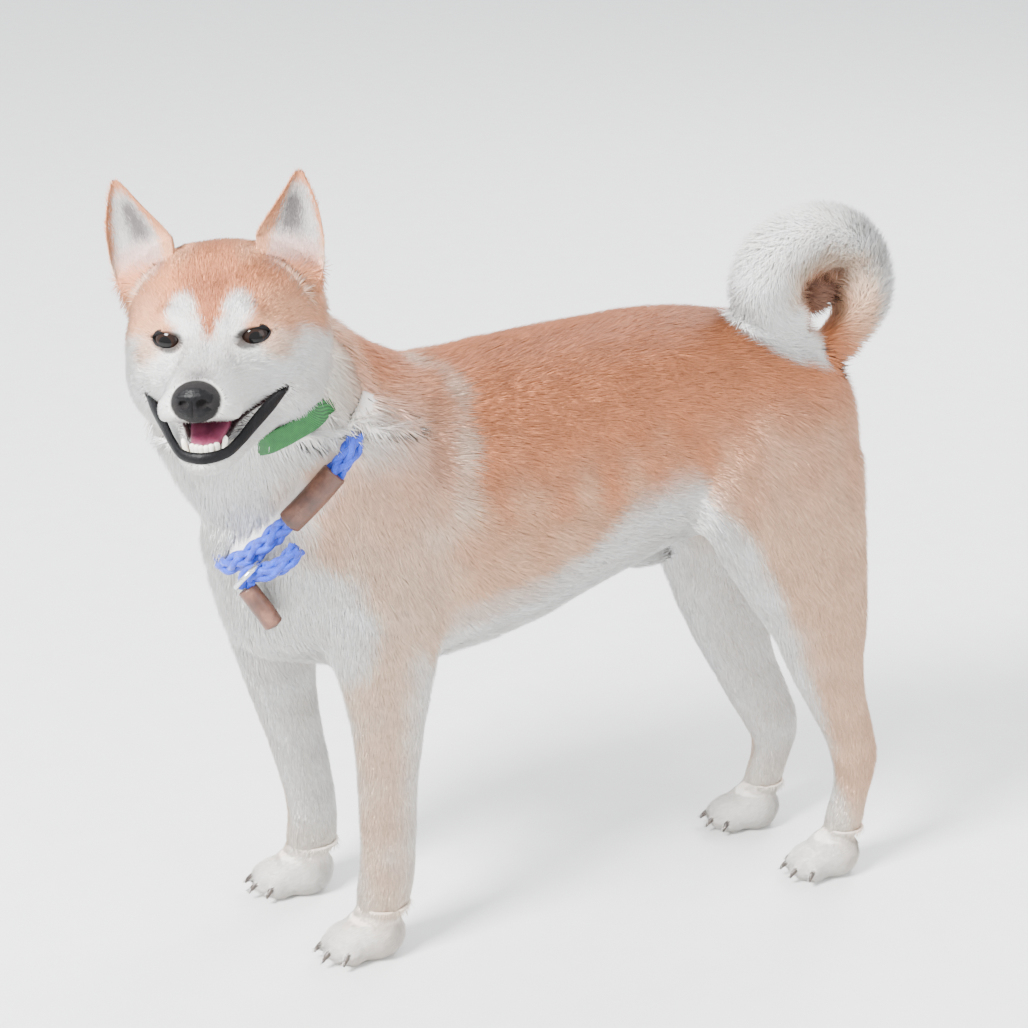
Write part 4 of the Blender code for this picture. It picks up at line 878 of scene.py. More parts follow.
def roots_on(mesh, per_area):
    """Points spread evenly over the mesh's four-sided faces: place, normal, unwrap and face."""
    polygons = mesh.polygons
    starts = np.empty(len(polygons), np.int64)
    totals = np.empty(len(polygons), np.int64)
    areas = np.empty(len(polygons))
    polygons.foreach_get("loop_start", starts)
    polygons.foreach_get("loop_total", totals)
    polygons.foreach_get("area", areas)
    corners = np.empty(len(mesh.loops), np.int64)
    mesh.loops.foreach_get("vertex_index", corners)
    charts = np.empty(len(mesh.loops) * 2, np.float32)
    mesh.uv_layers["OFBake"].uv.foreach_get("vector", charts)
    charts = charts.reshape(-1, 2).astype(float)
    points, normals = points_of(mesh), normals_of(mesh)
    rng = np.random.default_rng(SEED)
    index = starts[:, None] + np.minimum(np.arange(4), totals[:, None] - 1)
    centre = points[corners[index]].mean(axis=1)
    wanted = per_area(centre, normals[corners[index]].mean(axis=1)) * areas
    wanted *= TUFTS / wanted.sum()
    number = np.floor(wanted + rng.random(len(wanted))).astype(int)
    face = np.repeat(np.arange(len(polygons)), number)
    order = np.arange(len(face)) - np.repeat(np.cumsum(number) - number, number)
    shift = rng.random((len(polygons), 2))[face]
    a = (shift[:, 0] + order * 0.7549) % 1
    b = (shift[:, 1] + order * 0.5698) % 1
    shares = np.stack([(1 - a) * (1 - b), a * (1 - b), a * b, (1 - a) * b], 1)[:, :, None]
    at = index[face]
    place = (points[corners[at]] * shares).sum(axis=1)
    normal = unit((normals[corners[at]] * shares).sum(axis=1))
    chart = (charts[at] * shares).sum(axis=1)
    return place, normal, chart, face


def tuft_mesh(name, root, tip, normal, way, width, colour, tip_colour, chart, seed):
    """Thin three-sided tufts that leave their roots and taper along the coat's lie."""
    count = len(root)
    across = np.cross(normal, way) * (width / 2)[:, None]
    points = np.stack([root - across, root + normal * (width * 0.25)[:, None], root + across, tip], 1)
    faces = np.array([(3, 1, 0), (3, 2, 1), (3, 0, 2)])[None] + (np.arange(count) * 4)[:, None, None]
    faces = faces.reshape(-1, 3)
    mesh = bpy.data.meshes.new(name)
    mesh.vertices.add(count * 4)
    mesh.vertices.foreach_set("co", points.astype(np.float32).ravel())
    mesh.loops.add(len(faces) * 3)
    mesh.loops.foreach_set("vertex_index", faces.astype(np.int32).ravel())
    mesh.polygons.add(len(faces))
    mesh.polygons.foreach_set("loop_start", (np.arange(len(faces)) * 3).astype(np.int32))
    mesh.update(calc_edges=True)
    mesh.shade_smooth()
    tones = np.ones((count, 4, 4))
    # Roots take the coat's colour 10% darker: painted shade deep among the tufts.
    tones[:, :3, :3] = colour[:, None] * 0.90
    tones[:, 3, :3] = tip_colour
    store_colour(mesh, "coat", tones.reshape(-1, 4))
    store_vector(mesh, "skin_normal", np.repeat(normal, 4, axis=0))
    strand = np.empty((count, 4, 3))
    strand[:, :, 0] = np.array([-1, 0, 1, 0])
    strand[:, :, 1] = np.array([0, 0, 0, 2])
    strand[:, :, 2] = seed[:, None]
    store_vector(mesh, "strand", strand.reshape(-1, 3))
    local = np.array([(-0.5, -0.5), (0, -0.5), (0.5, -0.5), (0, 0.5)]) * 0.003
    chart = (chart[:, None] + local[None]).reshape(-1, 2)
    layer = mesh.uv_layers.new(name="OFBake")
    layer.uv.foreach_set("vector", chart[faces.ravel()].astype(np.float32).ravel())
    return mesh


def store_colour(mesh, name, values):
    layer = mesh.attributes.new(name, "FLOAT_COLOR", "POINT")
    layer.data.foreach_set("color", values.astype(np.float32).ravel())


def store_vector(mesh, name, values):
    layer = mesh.attributes.new(name, "FLOAT_VECTOR", "POINT")
    layer.data.foreach_set("vector", values.astype(np.float32).ravel())


def density(points, normals):
    """How close the tufts grow: closest on the face and feet."""
    _, _, _, width, on_tail = coat_at(points, normals)
    return 1 / (width * (0.45 - 0.10 * on_tail) + 0.00035)**2 * (1 - in_mouth(moved(HEAD.inverted(), points)))


def shown_worn(points):
    """1 where a worn piece that shows is closer than a hair, from points of the frame."""
    inverse = PLACE.inverted()
    close = np.zeros(len(points), bool)
    for nodes, centre, down, (first, last) in (
            (("collar",), COLLAR_CENTRE, COLLAR_DOWN, COLLAR_SHOWS),
            (("rope", "sleeve", "strand", "ferrule", "ring"), ROPE_CENTRE, ROPE_DOWN, ROPE_SHOWS)):
        design = moved(inverse, points) - centre
        down = unit(np.array(down))
        angle = np.degrees(np.arctan2(design @ down, design[:, 0]))
        along = np.abs(design @ np.cross((1, 0, 0), down))
        for node in nodes:
            low, high = (np.array(v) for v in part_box(node))
            margin = COLLAR_MARGIN if node == "collar" else WORN_MARGIN
            near = np.all((points > low - margin) & (points < high + margin), axis=1)
            if node in ("collar", "rope"):
                near &= (angle > first) & (angle < last)
            if node == "collar":
                near &= along < COLLAR_MIDDLE
            if not near.any():
                continue
            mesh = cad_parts[node].data
            tree = BVHTree.FromPolygons([v.co for v in mesh.vertices], [p.vertices for p in mesh.polygons])
            for k in np.flatnonzero(near):
                spot, normal, _, distance = tree.find_nearest(Vector(points[k]))
                close[k] |= distance < margin or (Vector(points[k]) - spot).dot(normal) < 0
    return close


def coat_pieces(skin, head_faces):
    """The coat over the skin as several meshes of tufts, each small enough to be one piece."""
    place, normal, chart, face = roots_on(skin, density)
    local = moved(HEAD.inverted(), place)
    bare = (eye_gap(place) < BARE_EYE) | (nose_gap(local) < BARE_NOSE) | (lip_gap(local) < BARE_LIP)
    bare |= (place[:, 2] < BARE_SOLE) | ((place[:, 2] > 0.028) & (place[:, 2] < 0.048) & (normal[:, 2] > 0.45))
    for side in (1, -1):
        t, across, out = ear_places(local, side)
        on_copy = (face >= head_faces[0]) & (face < head_faces[1]) & (local[:, 0] * side > 0)
        bare |= on_copy & (t > 0.14) & (np.abs(across) < 1.3) & (np.abs(out) < 0.016)
    place, normal, chart = place[~bare], normal[~bare], chart[~bare]
    tree = BVHTree.FromPolygons([v.co for v in skin.vertices], [p.vertices for p in skin.polygons])
    along = moved(HEAD.inverted(), place)[:, 1]
    creased = (along > CREASE_FROM) & (along < CREASE_TO)
    for k in np.flatnonzero(creased):
        root, out = Vector(place[k]), Vector(normal[k])
        ahead = tree.ray_cast(root + out * 0.0008, out, 0.05)[0]
        if ahead and not tree.ray_cast(root - out * 0.0008, -out, 0.05)[0]:
            normal[k] = -normal[k]
    rng = np.random.default_rng(SEED + 1)
    way, depth, length, width, on_tail = coat_at(place, normal)
    count = len(place)
    swing = 0.16 * waves(place, 0.020, 21) + rng.normal(0, 0.12 + 0.25 * on_tail, count)
    way = unit(way + np.cross(normal, way) * swing[:, None])
    length = length * rng.uniform(0.75, 1.2, count)
    depth = depth * rng.uniform(0.75, 1.05, count) + 0.00015
    root = place - normal * (0.08 * depth)[:, None]
    tip = place + way * length[:, None] + normal * (depth * rng.uniform(0.60, 1.0, count))[:, None]
    far = np.zeros(count, bool)
    for k in np.flatnonzero(creased):
        far[k] = tree.find_nearest(Vector(tip[k]))[3] > CREASE_TIP
    kept = ~far & ~np.any([shown_worn(root + (tip - root) * t) for t in (0.0, 0.25, 0.5, 0.75, 1.0)], axis=0)
    kept &= (tip[:, 2] > 0.0004) & (eye_gap(tip) > 0.0006) & (nose_gap(moved(HEAD.inverted(), tip)) > 0.0002)
    place, root, tip, normal, chart, way, width = (v[kept] for v in (place, root, tip, normal, chart, way, width))
    count = len(place)
    colour = markings(place + rng.normal(0, 0.0013, (count, 3)), normal)
    tone = 1 + 0.07 * rng.normal(0, 1, count) + 0.05 * waves(place, 0.03, 8)
    tone = np.where(rng.random(count) < 0.12, tone + 0.15, tone)
    colour = np.clip(colour * np.clip(tone, 0.7, 1.35)[:, None], 0, 0.95)
    tip_colour = np.clip(colour * rng.uniform(0.88, 1.15, (count, 1)), 0, 0.96)
    seed = rng.random(count) * 50
    order = np.argsort(place[:, 1] + 0.3 * place[:, 2])
    made = []
    for k, part in enumerate(np.array_split(order, math.ceil(count / PIECE_TUFTS))):
        values = [v[part] for v in (root, tip, normal, way, width, colour, tip_colour, chart, seed)]
        made.append(tuft_mesh(f"coat_{k + 1}", *values))
    return made


# The face's separate pieces


def eye_ball(name, side):
    """A fine ball with a slight cornea, and how each point of it lies from the way it looks."""
    whole = bmesh.new()
    bmesh.ops.create_uvsphere(whole, u_segments=48, v_segments=32, radius=1.0)
    mesh = bpy.data.meshes.new(name)
    whole.to_mesh(mesh)
    whole.free()
    ball = points_of(mesh)
    turn = Matrix.Rotation(math.radians(LID_TURN * 0.55 * side), 4, "Z") @ Matrix.Rotation(math.radians(96), 4, "X")
    store_vector(mesh, "gaze", ball)
    bulge = 1 + 0.035 * step(0.70, 0.90, ball[:, 2])
    place = HEAD @ Matrix.Translation(mirrored(EYE_CENTRE, side)) @ turn
    set_points(mesh, moved(place, ball * (bulge * EYE_RADIUS)[:, None]))
    mesh.shade_smooth()
    return mesh


def lid_mesh(name, side, around=72):
    """The dark rim of an eye's opening, laid over the ball and thinnest at its outer corner."""
    edge, out = almond(around, side)
    centre = lid_frame(side).inverted() @ (HEAD @ mirrored(EYE_CENTRE, side))
    cx, cy, cz = centre
    from_outer = np.abs(np.arange(around) * 2 * math.pi / around - (0 if side > 0 else math.pi))
    from_outer = np.minimum(from_outer, 2 * math.pi - from_outer)
    wide = 1 - 0.75 * np.exp(-(from_outer / 0.50) ** 2)
    rings = []
    for offset, height in LID_ROWS:
        flat = edge + out * (offset * np.where(offset > 0, wide, 1.0))[:, None]
        left = (EYE_RADIUS + height) ** 2 - (flat[:, 0] - cx) ** 2 - (flat[:, 1] - cz) ** 2
        depth = cy - np.sqrt(np.maximum(left, 0.000012))
        rings.append(np.stack([flat[:, 0], depth, flat[:, 1]], 1))
    points = moved(lid_frame(side), np.vstack(rings))
    faces = []
    rows = len(LID_ROWS)
    for r in range(rows):
        for k in range(around):
            a, b = r * around + k, r * around + (k + 1) % around
            c, d = ((r + 1) % rows) * around + (k + 1) % around, ((r + 1) % rows) * around + k
            faces.append((a, b, c, d))
    mesh = mesh_from(name, points, faces)
    outward(mesh)
    mesh.shade_smooth()
    return mesh


def refined(node, voxel, times):
    """A finer, softer copy of a node's shape."""
    mesh = remeshed((node,), [], voxel, 0.0002)
    pairs, count = neighbours_of(mesh)
    set_points(mesh, smoothed(points_of(mesh), pairs, count, times))
    mesh.shade_smooth()
    return mesh


def bump(offsets, sizes):
    """1 in the middle of a soft bump, falling to 0 round it."""
    return np.exp(-np.sum((offsets / sizes) ** 2, axis=1))


def nose_mesh():
    mesh = refined("nose", 0.0006, 5)
    local = moved(HEAD.inverted(), points_of(mesh))
    local = NOSE[0] + (local - NOSE[0]) * (NOSE_SHARE, 1.0, NOSE_SHARE)
    normals = turned(HEAD.inverted(), normals_of(mesh))
    x, y, z = local.T
    groove = np.exp(-((x - NOSE[0][0]) / 0.0009) ** 2) * step(-0.026, -0.032, z) * step(-0.056, -0.062, y)
    depth = 0.0011 * groove
    for side in (1, -1):
        spot = np.array(mirrored(NOSTRIL, side))
        near = bump(local - spot, (0.0034, 0.0060, 0.0024))
        slit = bump(local - spot - (side * 0.0048, 0.004, -0.0012), (0.0036, 0.0060, 0.0012))
        depth = depth + 0.0024 * near + 0.0020 * slit
        wing = bump(local - spot - (side * 0.0030, 0.001, 0.0042), (0.0050, 0.006, 0.0022))
        depth = depth - 0.0005 * wing
    cobble = waves(local, 0.0016, 5) * waves(local, 0.0012, 6)
    depth = depth + 0.00007 * cobble
    local = local - normals * depth[:, None]
    set_points(mesh, moved(HEAD, local))
    return mesh


def swept(name, points, halves, thin, hint, around=16, into=None):
    """A closed sweep through places in the head's frame with an oval section of varying size."""
    rows = curve_rows([(*p, h, t) for p, h, t in zip(points, halves, thin)], 8)
    path = rows[:, :3]
    tangents, across, over = frames_along(path, np.array(hint, float))
    angles = np.arange(around) * 2 * math.pi / around
    rings = path[:, None] + across[:, None] * (rows[:, 3:4] * np.cos(angles))[:, :, None]
    rings = rings + over[:, None] * (rows[:, 4:5] * np.sin(angles))[:, :, None]
    ends = [path[0] - tangents[0] * rows[0, 4] * 0.7, path[-1] + tangents[-1] * rows[-1, 4] * 0.7]
    mesh = closed_loft(name, moved(into or HEAD, np.vstack([rings.reshape(-1, 3), ends])), len(path), around)
    mesh.shade_smooth()
    return mesh


def both(line):
    """A line on the dog's left, carried on to its right."""
    return [tuple(p) for p in line] + [(-p[0], p[1], p[2]) for p in reversed(line[:-1])]


def lip_mesh():
    """The dark lip: a broad band round the lower jaw from corner to corner."""
    low = both([(x, y, z - 0.0012) for x, y, z in LIP])
    halves = [0.0022, 0.0040, 0.0040, 0.0034, 0.0032, 0.0034]
    thin = [0.0018, 0.0024, 0.0024, 0.0022, 0.0022, 0.0024]
    return swept("lip", low, halves + halves[-2::-1], thin + thin[-2::-1], (0, 0, 1))



def tongue_mesh():
    """The tongue, dished along its middle and rounded at its tip."""
    rows = curve_rows(TONGUE, 7)
    path = rows[:, :3]
    tangents, _, over = frames_along(path, np.array((1.0, 0.0, 0.0)))
    around = 40
    angles = np.arange(around) * 2 * math.pi / around
    rings = []
    for row, up in zip(rows, -over if over[0, 2] < 0 else over):
        flat = np.sign(np.cos(angles)) * np.abs(np.cos(angles)) ** 0.8 * row[3]
        high = np.sign(np.sin(angles)) * np.abs(np.sin(angles)) ** 0.8 * row[4]
        groove = 0.0013 * np.exp(-((flat / 0.0017) ** 2)) + 0.0006 * np.exp(-((flat / 0.005) ** 2))
        high = np.where(high > 0, high - groove, high)
        rings.append(row[:3] + np.outer(flat, (1, 0, 0)) + np.outer(high, up))
    tip = path[-1] + tangents[-1] * 0.0042
    points = np.vstack([np.vstack(rings), path[0] - tangents[0] * 0.002, tip])
    mesh = closed_loft("tongue", moved(HEAD, points), len(rings), around)
    mesh.shade_smooth()
    return mesh


def tooth(base, tip, width, thick, way, blunt, around=10):
    """One tooth from its gum to its tip, wider along the row than across it."""
    base, tip, way = (np.array(v, float) for v in (base, tip, way))
    up = tip - base
    across = unit(np.cross(up, way))
    rows = []
    for t in (-0.25, 0.0, 0.35, 0.7, 0.9, 1.0):
        size = (1.05 - 0.15 * t) * (1 - t**4) ** 0.5 + blunt * (t > 0) * t if t < 1 else blunt
        angles = np.arange(around) * 2 * math.pi / around
        rows.append(base + up * t + way * (width / 2 * size * np.cos(angles))[:, None]
                    + across * (thick / 2 * size * np.sin(angles))[:, None])
    points = np.vstack([*rows, base - up * 0.3, tip + unit(up) * 0.0002])
    return closed_loft("tooth", moved(HEAD, points), len(rows), around)


def teeth_mesh():
    """Lower teeth: six incisors, two canines and a small tooth behind each."""
    made = []
    for side in (1, -1):
        for k, x in enumerate((0.0014, 0.0042, 0.0070)):
            y = -0.0448 + 0.0004 * k**2 * 1.6
            base = (x * side, y, -0.0608 + 0.0005 * k)
            tip = (x * side * 1.03, y - 0.0010, -0.0562 + 0.0005 * k)
            made.append(tooth(base, tip, 0.0029, 0.0021, (1, 0.25 * k * side, 0), 0.55))
        made.append(tooth((0.0112 * side, -0.0405, -0.0600), (0.0124 * side, -0.0412, -0.0518), 0.0034, 0.0038,
                          (0.6, 0.8 * side, 0), 0.10, 14))
        x, y, z = PREMOLAR
        made.append(tooth((x * side, y, z - 0.002), (x * side, y - 0.0004, z + 0.0024), 0.0044, 0.0022,
                          (0.33 * side, 1, 0.5), 0.25))
    return joined("teeth_lower", made)


def claw_pieces():
    """Every claw, three or four to a paw, curved down to the floor."""
    made = []
    for _, (x, y), heading, size in PAWS:
        place = PLACE @ Matrix.Translation((x, y, 0)) @ Matrix.Rotation(math.radians(heading), 4, "Z")
        place = place @ Matrix.Scale(size, 4)
        for angle in TOE_ANGLES:
            reach = 0.0195 if abs(angle) < 15 else 0.0145
            spread = place @ Matrix.Rotation(math.radians(angle), 4, "Z") @ Matrix.Translation((0, -reach, 0))
            made.append(swept("claw", CLAW, CLAW_RADII, CLAW_RADII, (1, 0, 0), 10, spread))
    return joined("claws", made)


# Worn pieces


def middle_line(node, centre, down, first, last, step_by=3.0):
    """The middle of a node that goes round the neck, by its angle round the neck's axis."""
    points = points_of(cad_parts[node].data)
    design = moved(PLACE.inverted(), points) - centre
    down = unit(np.array(down))
    angle = np.degrees(np.arctan2(design @ down, design[:, 0])) % 360
    radius = np.hypot(design @ down, design[:, 0])
    along = design @ np.cross((1, 0, 0), down)
    made = []
    for turn in np.arange(first, last + 0.01, step_by):
        gap = np.abs((angle - turn + 180) % 360 - 180)
        weight = np.exp(-(gap / 7.0) ** 2)
        weight /= weight.sum()
        way = np.array((1.0, 0, 0)) * math.cos(math.radians(turn)) + down * math.sin(math.radians(turn))
        made.append(centre + way * (radius @ weight) + np.cross((1, 0, 0), down) * (along @ weight))
    return np.array(made)


def rope_line(first, last):
    """The rope's middle line, in the frame, sunk deeper where the coat hides it, and where that is."""
    line = middle_line("rope", np.array(ROPE_CENTRE), ROPE_DOWN, first, last)
    angle = (np.arange(first, last + 0.01, 3.0) + 180) % 360 - 180
    hidden = step(0, 14, np.maximum(angle - ROPE_SHOWS[1], ROPE_SHOWS[0] - angle))
    return moved(PLACE, line - unit(line - ROPE_CENTRE) * (0.0025 * hidden)[:, None]), hidden


def strap_mesh():
    """The webbing collar: a flat band with rounded edges all the way round."""
    line = middle_line("collar", np.array(COLLAR_CENTRE), COLLAR_DOWN, 0, 357)
    down = unit(np.array(COLLAR_DOWN))
    axis = np.cross((1, 0, 0), down)
    angle = (np.arange(0, 357.01, 3.0) + 180) % 360 - 180
    sunk = step(0, 16, np.maximum(COLLAR_SHOWS[0] - angle, angle - COLLAR_SHOWS[1]))
    points, faces, section = [], [], []
    for k in range(20):
        turn = 2 * math.pi * k / 20
        section.append((0.0066 * np.sign(math.cos(turn)) * abs(math.cos(turn)) ** 0.35,
                        0.0011 * np.sign(math.sin(turn)) * abs(math.sin(turn)) ** 0.35))
    for k, p in enumerate(line):
        out = unit(p - COLLAR_CENTRE - axis * ((p - COLLAR_CENTRE) @ axis))
        points += [p + axis * a + out * (b + 0.0016 - 0.0066 * sunk[k]) for a, b in section]
    count = len(line)
    for r in range(count):
        for k in range(20):
            a, b = r * 20 + k, r * 20 + (k + 1) % 20
            faces.append((a, b, (b + 20) % (20 * count), (a + 20) % (20 * count)))
    mesh = mesh_from("collar", moved(PLACE, points), faces)
    outward(mesh)
    mesh.shade_smooth()
    return mesh


def braid_tree(material):
    """Strands wound both ways round a path, each over and under the others in turn."""
    tree = bpy.data.node_groups.new("braid", "GeometryNodeTree")
    tree.interface.new_socket("Geometry", in_out="INPUT", socket_type="NodeSocketGeometry")
    tree.interface.new_socket("Geometry", in_out="OUTPUT", socket_type="NodeSocketGeometry")
    for name, kind, value in (("Strands", "NodeSocketInt", 4), ("Turns", "NodeSocketFloat", 90.0),
                              ("Spread", "NodeSocketFloat", 0.0038), ("Weave", "NodeSocketFloat", 0.0009),
                              ("Thickness", "NodeSocketFloat", 0.0022), ("Step", "NodeSocketFloat", 0.0013)):
        socket = tree.interface.new_socket(name, in_out="INPUT", socket_type=kind)
        socket.default_value = value
    source, sink = tree.nodes.new("NodeGroupInput"), tree.nodes.new("NodeGroupOutput")
    given = {name: Sock(tree, source.outputs[name]) for name in
             ("Geometry", "Strands", "Turns", "Spread", "Weave", "Thickness", "Step")}
    s = given["Turns"]
    even = s.node("GeometryNodeResampleCurve", {"mode": "LENGTH"}, Curve=given["Geometry"], Length=given["Step"])
    copies = s.node("GeometryNodeDuplicateElements", {"domain": "SPLINE"}, Geometry=Sock(tree, even.outputs[0]),
                    Amount=given["Strands"] * 2.0)
    number = Sock(tree, copies.outputs["Duplicate Index"])
    along = Sock(tree, s.node("GeometryNodeSplineParameter").outputs["Length"])
    sense = 1.0 - number.maths("MODULO", number, 2.0) * 2.0
    place = number.maths("FLOOR", number * 0.5)
    phase = place.maths("DIVIDE", place * (2 * math.pi), given["Strands"])
    angle = phase + sense * given["Turns"] * along
    lift = angle.maths("COSINE", given["Strands"] * given["Turns"] * along)
    radius = given["Spread"] + given["Weave"] * sense * lift
    normal = s.node("GeometryNodeInputNormal").outputs[0]
    tangent = s.node("GeometryNodeInputTangent").outputs[0]
    side = s.node("ShaderNodeVectorMath", {"operation": "CROSS_PRODUCT"}, _0=Sock(tree, normal),
                  _1=Sock(tree, tangent)).outputs[0]
    shares = []
    for way, share in ((normal, angle.maths("COSINE", angle)), (side, angle.maths("SINE", angle))):
        made = s.node("ShaderNodeVectorMath", {"operation": "SCALE"}, _0=Sock(tree, way), Scale=share * radius)
        shares.append(Sock(tree, made.outputs[0]))
    offset = s.node("ShaderNodeVectorMath", {"operation": "ADD"}, _0=shares[0], _1=shares[1]).outputs[0]
    shifted = s.node("GeometryNodeSetPosition", Geometry=Sock(tree, copies.outputs[0]), Offset=Sock(tree, offset))
    ring = s.node("GeometryNodeCurvePrimitiveCircle", Resolution=8, Radius=given["Thickness"])
    tube = s.node("GeometryNodeCurveToMesh", Curve=Sock(tree, shifted.outputs[0]),
                  Profile_Curve=Sock(tree, ring.outputs[0]), Fill_Caps=True)
    soft = s.node("GeometryNodeSetShadeSmooth", Geometry=Sock(tree, tube.outputs[0]), Shade_Smooth=True)
    real = s.node("GeometryNodeRealizeInstances", Geometry=Sock(tree, soft.outputs[0]))
    done = s.node("GeometryNodeSetMaterial", Geometry=Sock(tree, real.outputs[0]), Material=material)
    tree.links.new(done.outputs[0], sink.inputs[0])
    return tree


def braided(name, path, material, **inputs):
    """A braided rope along a path."""
    curve = bpy.data.curves.new(name, "CURVE")
    curve.dimensions = "3D"
    spline = curve.splines.new("POLY")
    spline.points.add(len(path) - 1)
    for point, at in zip(spline.points, path):
        point.co = (*at, 1)
    item = new_object(name, curve)
    made = item.modifiers.new("Braid", "NODES")
    made.node_group = braid_tree(material)
    for socket in made.node_group.interface.items_tree:
        if socket.in_out == "INPUT" and socket.name in inputs:
            made[socket.identifier] = inputs[socket.name]
    return evaluated(item)


# Materials


class Sock:
    """A shader socket that can be used in expressions."""

    def __init__(self, tree, out):
        self.tree, self.out = tree, out

    def node(self, kind, settings=(), **inputs):
        """Any node, its settings and the values or links of its inputs."""
        made = self.tree.nodes.new(kind)
        for name, value in dict(settings).items():
            setattr(made, name, value)
        for name, value in inputs.items():
            numbered = name[0] == "_" and name[1:].isdigit()
            slot = made.inputs[int(name[1:]) if numbered else name.replace("_", " ")]
            if isinstance(value, Sock):
                self.tree.links.new(value.out, slot)
            else:
                slot.default_value = value
        return made

    def maths(self, operation, *values):
        made = self.node("ShaderNodeMath", {"operation": operation},
                         **{f"_{k}": v for k, v in enumerate(values)})
        return Sock(self.tree, made.outputs[0])

    def __add__(self, other):
        return self.maths("ADD", self, other)

    def __mul__(self, other):
        return self.maths("MULTIPLY", self, other)

    def __sub__(self, other):
        return self.maths("SUBTRACT", self, other)

    def __rsub__(self, other):
        return self.maths("SUBTRACT", other, self)

    __radd__, __rmul__ = __add__, __mul__


def new_material(name, roughness, **settings):
    """A material with its shader, and a socket to build expressions from."""
    material = bpy.data.materials.new(name)
    material.use_nodes = True
    shader = material.node_tree.nodes["Principled BSDF"]
    shader.inputs["Roughness"].default_value = roughness
    for key, value in settings.items():
        shader.inputs[key.replace("_", " ")].default_value = value
    return material, shader, Sock(material.node_tree, None)


def scaled_grey(s, value):
    """A grey with this value in all three channels."""
    made = s.node("ShaderNodeCombineColor", Red=value, Green=value, Blue=value)
    return Sock(s.tree, made.outputs[0])


def colour_mix(s, share, first, second, blend="MIX"):
    made = s.node("ShaderNodeMix", {"data_type": "RGBA", "blend_type": blend}, _0=share, _6=first, _7=second)
    return Sock(s.tree, made.outputs[2])


def noise(s, vector, scale, detail=2.0, roughness=0.5):
    made = s.node("ShaderNodeTexNoise", Vector=vector, Scale=scale, Detail=detail, Roughness=roughness)
    return Sock(s.tree, made.outputs[0])


def object_place(s):
    return Sock(s.tree, s.node("ShaderNodeTexCoord").outputs["Object"])


def attribute(s, name, output="Vector"):
    return Sock(s.tree, s.node("ShaderNodeAttribute", {"attribute_name": name}).outputs[output])


def bumped(s, height, distance, strength=1.0, normal=None):
    links = {"Normal": normal} if normal else {}
    made = s.node("ShaderNodeBump", Height=height, Distance=distance, Strength=strength, **links)
    return Sock(s.tree, made.outputs[0])


def linked(s, shader, **inputs):
    for name, value in inputs.items():
        s.tree.links.new(value.out, shader.inputs[name.replace("_", " ")])


def ramp(s, value, *stops):
    """A colour that changes with a value, from (place, colour) stops."""
    made = s.node("ShaderNodeValToRGB", Fac=value)
    while len(made.color_ramp.elements) < len(stops):
        made.color_ramp.elements.new(0.5)
    for element, (place, colour) in zip(made.color_ramp.elements, stops):
        element.position, element.color = place, (*colour, 1)
    return Sock(s.tree, made.outputs[0])


def coat_material():
    material, shader, s = new_material("coat", 0.62, Specular_IOR_Level=0.30)
    streaks = noise(s, s_scale(s, attribute(s, "strand"), (1.9, 0.35, 7.0)), 1.0, 2.0)
    light = 0.88 + 0.24 * streaks
    colour = colour_mix(s, 1.0, attribute(s, "coat", "Color"), scaled_grey(s, light), "MULTIPLY")
    surface = Sock(s.tree, s.node("ShaderNodeNewGeometry").outputs["Normal"])
    blend = s.node("ShaderNodeMix", {"data_type": "VECTOR"}, _0=0.86, _4=surface, _5=attribute(s, "skin_normal"))
    even = s.node("ShaderNodeVectorMath", {"operation": "NORMALIZE"}, _0=Sock(s.tree, blend.outputs[1]))
    linked(s, shader, Base_Color=colour, Normal=bumped(s, streaks, 0.0002, 0.4, Sock(s.tree, even.outputs[0])))
    return material


def s_scale(s, vector, sizes):
    made = s.node("ShaderNodeVectorMath", {"operation": "MULTIPLY"}, _0=vector, _1=sizes)
    return Sock(s.tree, made.outputs[0])


def skin_material():
    """The skin under the coat, streaked along the way that the hair lies."""
    material, shader, s = new_material("skin", 0.75, Specular_IOR_Level=0.25)
    place, lie = object_place(s), attribute(s, "lie")
    dot = s.node("ShaderNodeVectorMath", {"operation": "DOT_PRODUCT"}, _0=place, _1=lie)
    drawn = s.node("ShaderNodeVectorMath", {"operation": "SCALE"}, _0=lie,
                   Scale=Sock(s.tree, dot.outputs["Value"]) * -0.9)
    across = s.node("ShaderNodeVectorMath", {"operation": "ADD"}, _0=place, _1=Sock(s.tree, drawn.outputs[0]))
    hairs = noise(s, Sock(s.tree, across.outputs[0]), 1100.0, 3.0, 0.6)
    colour = colour_mix(s, 1.0, attribute(s, "coat", "Color"), scaled_grey(s, 0.70 + 0.6 * hairs), "MULTIPLY")
    linked(s, shader, Base_Color=colour, Normal=bumped(s, hairs, 0.0006, 0.8))
    return material


def eye_material():
    """A dark brown iris round a black pupil, under a wet cornea."""
    material, shader, s = new_material("eye", 0.05, Specular_IOR_Level=0.22)
    gaze = attribute(s, "gaze")
    parts = s.node("ShaderNodeSeparateXYZ", Vector=gaze)
    x, y = (Sock(s.tree, parts.outputs[k]) for k in (0, 1))
    out = x.maths("SQRT", x * x + y * y)
    rays = noise(s, s_scale(s, gaze, (9.0, 9.0, 1.0)), 1.0, 3.0)
    iris = ramp(s, out + 0.03 * rays, (0.0, srgb(6, 5, 5)), (0.34, srgb(6, 5, 5)), (0.37, srgb(30, 17, 11)),
                (0.66, srgb(18, 11, 8)), (0.76, srgb(5, 4, 4)), (0.84, srgb(20, 15, 13)))
    linked(s, shader, Base_Color=iris)
    return material


